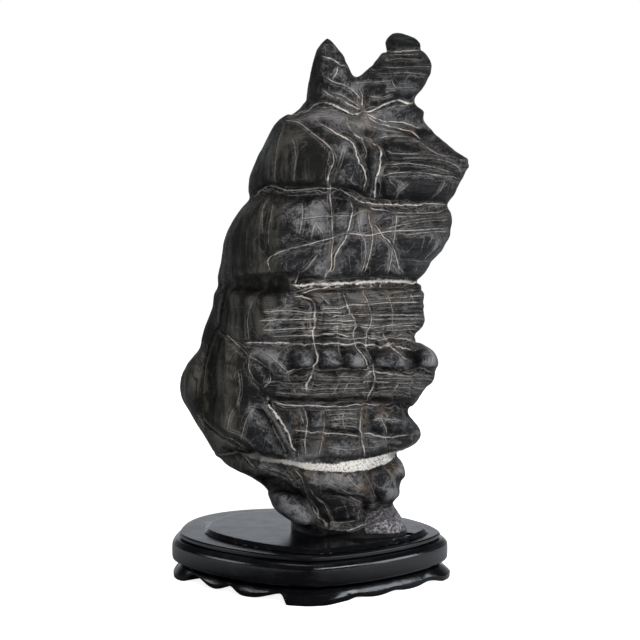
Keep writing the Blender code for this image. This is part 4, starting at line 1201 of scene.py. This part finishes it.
def veins_of_set(number):
    """How strongly a set's veins show, and how strongly the painted shadow line below them."""
    gap_mm, tone_here, half_mm = rock.stored(f"veins_{number}")
    away_mm = rock.maths("ABSOLUTE", gap_mm)
    wide = rock.product(half_mm, width_here)
    core = rock.ramp(away_mm, rock.product(wide, 0.40), wide, 1.0, 0.0)
    smear = rock.product(rock.ramp(away_mm, 0.4, 2.8, 0.28, 0.0), brush_marks)
    line_share = rock.largest(core, smear, strand(gap_mm, strand_gap), strand(gap_mm, other_gap))
    # Painted shadow: a dark line on the side below the vein, as under a ledge.
    shadow_line = rock.ramp(rock.distance(gap_mm, SHADOW_LINE_BELOW), 0.2, 0.7, 1.0, 0.0)
    return rock.product(line_share, tone_here), rock.product(shadow_line, tone_here)


vein_shares, shadow_line_shares = zip(*(veins_of_set(number) for number in range(VEIN_SETS)))
vein_share = rock.product(rock.largest(*vein_shares), rock.ramp(broken, 0.36, 0.50, 0.50, 1.15))
vein_colour = rock.blend(rock.ramp(vein_share, 0.55, 1.0), VEIN_GREY, VEIN_WHITE)
shadow_line_share = rock.maths("MULTIPLY", rock.largest(*shadow_line_shares), 1.1, clamp=True)
# Painted shade in the slot under each open joint.
coloured = rock.blend(rock.product(slot_shade_mask, 0.85), coloured, SHADE_AND_CRACK_BLACK)
# The painted shadow line just below each vein.
coloured = rock.blend(shadow_line_share, coloured, SHADE_AND_CRACK_BLACK)
coloured = rock.blend(rock.maths("MULTIPLY", vein_share, 1.9, clamp=True), coloured, vein_colour)
print("with veins:", len(rock.tree.nodes), "nodes")


# %% [markdown]
# ## Stains, crust and wedge
# The rock is stained tan where cracks meet. The white band is a rough crust, and the wedge at the
# foot is coarse and speckled. Both have ragged edges, because a fine noise is added to the distance
# from their edge before it is cut.

# %% Tan stains, white crust and the sparkling wedge
TAN = (0.24, 0.175, 0.125, 1)
CRUST_WHITE = (0.82, 0.79, 0.75, 1)
CRUST_BROWN = (0.30, 0.28, 0.26, 1)
WEDGE_DARK = (0.045, 0.044, 0.048, 1)
WEDGE_PINK = (0.40, 0.375, 0.40, 1)
RAGGED_EDGE = 3.0

stain = rock.ramp(rock.grain(here, 260, detail=3, rough=0.7), 0.40, 0.60)
coloured = rock.blend(rock.product(tan_mask, stain, 0.75), coloured, TAN)

grains = rock.grain(here, 700, detail=2, rough=0.6)
crust_share = rock.ramp(rock.total((crust_edge, 1.0), (grains, RAGGED_EDGE)), 0.9, 1.9)
whiteness = rock.product(rock.ramp(drawn_column, 0.42, 0.53), rock.ramp(grains, 0.36, 0.52))
crust_colour = rock.blend(whiteness, CRUST_BROWN, CRUST_WHITE)
coloured = rock.blend(crust_share, coloured, crust_colour)

wedge_share = rock.ramp(rock.total((wedge_edge, 1.0), (grains, RAGGED_EDGE)), 1.0, 2.3)
sparkle = rock.ramp(rock.grain(here, 420, detail=3, rough=0.7), 0.40, 0.62)
coloured = rock.blend(wedge_share, coloured, rock.blend(sparkle, WEDGE_DARK, WEDGE_PINK))
print("with stains and crust:", len(rock.tree.nodes), "nodes")


# %% [markdown]
# ## The foot in its socket
# Where the stone stands in its socket, its colour is painted black as the socket's shadow, and it is made
# glossier. A mask on the height of each point gives that. It rises to the left and has a ragged edge.

# %% Painted socket shadow, black and glossy, on the foot of the stone
SOCKET_SHADOW_BLACK = (0.004, 0.004, 0.005, 1)
SOCKET_SHADOW_TOP = 56 * MM
SOCKET_SHADOW_SLOPE = 0.045
SOCKET_SHADOW_RAGGED = 8 * MM
SOCKET_SHADOW_EDGE = 0.7 * MM

foot_x, _, foot_z = rock.apart(here)
socket_shadow_height = rock.total((foot_z, 1.0), (foot_x, SOCKET_SHADOW_SLOPE), (patches, SOCKET_SHADOW_RAGGED))
socket_shadow_share = rock.ramp(socket_shadow_height, SOCKET_SHADOW_TOP - SOCKET_SHADOW_EDGE, SOCKET_SHADOW_TOP + SOCKET_SHADOW_EDGE, 1.0, 0.0)
coloured = rock.blend(socket_shadow_share, coloured, SOCKET_SHADOW_BLACK)
# Painted shadow of the socket, up to this height less its ragged edge.
print("lacquer runs up to", SOCKET_SHADOW_TOP / MM, "mm less its ragged edge")


# %% [markdown]
# ## Hollows, gloss and relief
# Painted shade makes the hollows darker than the swellings, though not the pale veins, and the painted
# shade patches darken the rock further. The pale veins are duller than the rock. Relief finer than the
# mesh's squares is left to bumps, one over another, from the finest to the veins.

# %% Painted shade in the hollows, gloss and fine relief
ROCK_SPECULAR = 0.20

# Painted shade: darker where the skin is carved deeper.
hollow_shade = rock.ramp(hollow_mask, 0.40, 1.0, 1.0, 0.52)
pale_share = rock.largest(rock.maths("MULTIPLY", vein_share, 1.6, clamp=True), crust_share)
# The painted shade patches darken the colour here as well.
shade_factor = rock.product(rock.largest(hollow_shade, pale_share), rock.less(painted_shade_mask, 0.62))
rock.give("Base Color", rock.blend(1.0, coloured, shade_factor, way="MULTIPLY"))
gloss = rock.total((rock.ramp(patches, 0.35, 0.65, 0.36, 0.55), 1.0), (pale_share, 0.2))
# Glossier on the painted socket shadow.
rock.give("Roughness", rock.product(gloss, rock.less(socket_shadow_share, 0.6)))
rock.give("Specular IOR Level", ROCK_SPECULAR)
rock.relief((specks, 0.35 * MM, 0.5),
            (rock.product(thin_layers, layered), 3.0 * MM, 0.8),
            (rock.product(layer_steps, layered), 5.0 * MM, 0.8),
            (rock.product(fine_streaks, left_mask), 0.8 * MM, 0.6),
            (patches, 3.0 * MM, 0.7),
            (rock.product(vein_share, -1.0), 0.4 * MM, 0.7))
coat(stone, rock)
print("stone finish:", len(rock.tree.nodes), "nodes")


# %% [markdown]
# ## The stand's boards
# The stand is three pieces of hardwood under thick black lacquer: a top board with a raised
# plateau and the socket, a rounded slab, and a scalloped apron on scroll feet. The CAD solids have
# the right sections but flat facets, and lacquer shows every facet. A welded copy of each gets its
# arrises, its sharp edges, eased by a small bevel and its curves rounded by subdivision.

# %% Rounded copies of the three boards
FLAT_ANGLE = math.radians(0.4)
QUAD_FACE_ANGLE, QUAD_SHAPE_ANGLE = math.radians(30), math.radians(60)
BEVEL_ANGLE = math.radians(28)
SMOOTH_ANGLE = math.radians(40)
BEVEL_STEPS, ROUNDING = 2, 2
# CAD node, name, width of the eased arris
BOARDS = [("stand_top", "plateau_board", 1.3 * MM), ("stand_slab", "slab_board", 1.1 * MM),
          ("stand_apron", "scroll_apron", 0.6 * MM)]


def rounded_copy(node, name, arris):
    """A copy of a board with eased arrises and smooth curves."""
    board = copy_of(node, name)
    bpy.ops.object.mode_set(mode="EDIT")
    bpy.ops.mesh.select_all(action="SELECT")
    bpy.ops.mesh.tris_convert_to_quads(face_threshold=QUAD_FACE_ANGLE, shape_threshold=QUAD_SHAPE_ANGLE)
    bpy.ops.mesh.dissolve_limited(angle_limit=FLAT_ANGLE)
    bpy.ops.object.mode_set(mode="OBJECT")
    ease = board.modifiers.new("ease_arrises", "BEVEL")
    ease.width = arris
    ease.segments = BEVEL_STEPS
    ease.limit_method = "ANGLE"
    ease.angle_limit = BEVEL_ANGLE
    round_off = board.modifiers.new("round_off", "SUBSURF")
    round_off.levels = ROUNDING
    round_off.render_levels = ROUNDING
    apply_all(board)
    bpy.ops.object.shade_smooth_by_angle(angle=SMOOTH_ANGLE)
    print(name, len(board.data.polygons), "faces")
    return board


boards = [rounded_copy(*numbers) for numbers in BOARDS]


# %% [markdown]
# ## Black lacquer
# Lacquer is a clear glossy coat over a black ground. On the old stand it is rubbed a little dull in
# patches, with the wood's grain showing faintly through where it is rubbed.

# %% The lacquer's recipe
lacquer = Recipe("black_lacquer")
LACQUER_BLACK = (0.0035, 0.0037, 0.0045, 1)
LACQUER_WORN = (0.012, 0.012, 0.014, 1)
LACQUER_SPECULAR = 0.5
GRAIN_STRETCH = (0.12, 1.0, 1.0)

wood_grain = lacquer.grain(lacquer.place(GRAIN_STRETCH), 260, detail=4, rough=0.6, twist=0.3)
wear = lacquer.grain(lacquer.place(), 45, detail=4, rough=0.6)
dust = lacquer.grain(lacquer.place(), 1100, detail=1, rough=0.5)
worn_share = lacquer.product(lacquer.ramp(wear, 0.45, 0.70), lacquer.ramp(wood_grain, 0.35, 0.65))
lacquer.give("Base Color", lacquer.blend(worn_share, LACQUER_BLACK, LACQUER_WORN))
lacquer.give("Roughness", lacquer.ramp(wear, 0.30, 0.70, 0.13, 0.24))
lacquer.give("Specular IOR Level", LACQUER_SPECULAR)
lacquer.relief((dust, 0.1 * MM, 0.25), (wood_grain, 0.35 * MM, 0.35))
for board in boards:
    coat(board, lacquer)
print("lacquer:", len(lacquer.tree.nodes), "nodes")
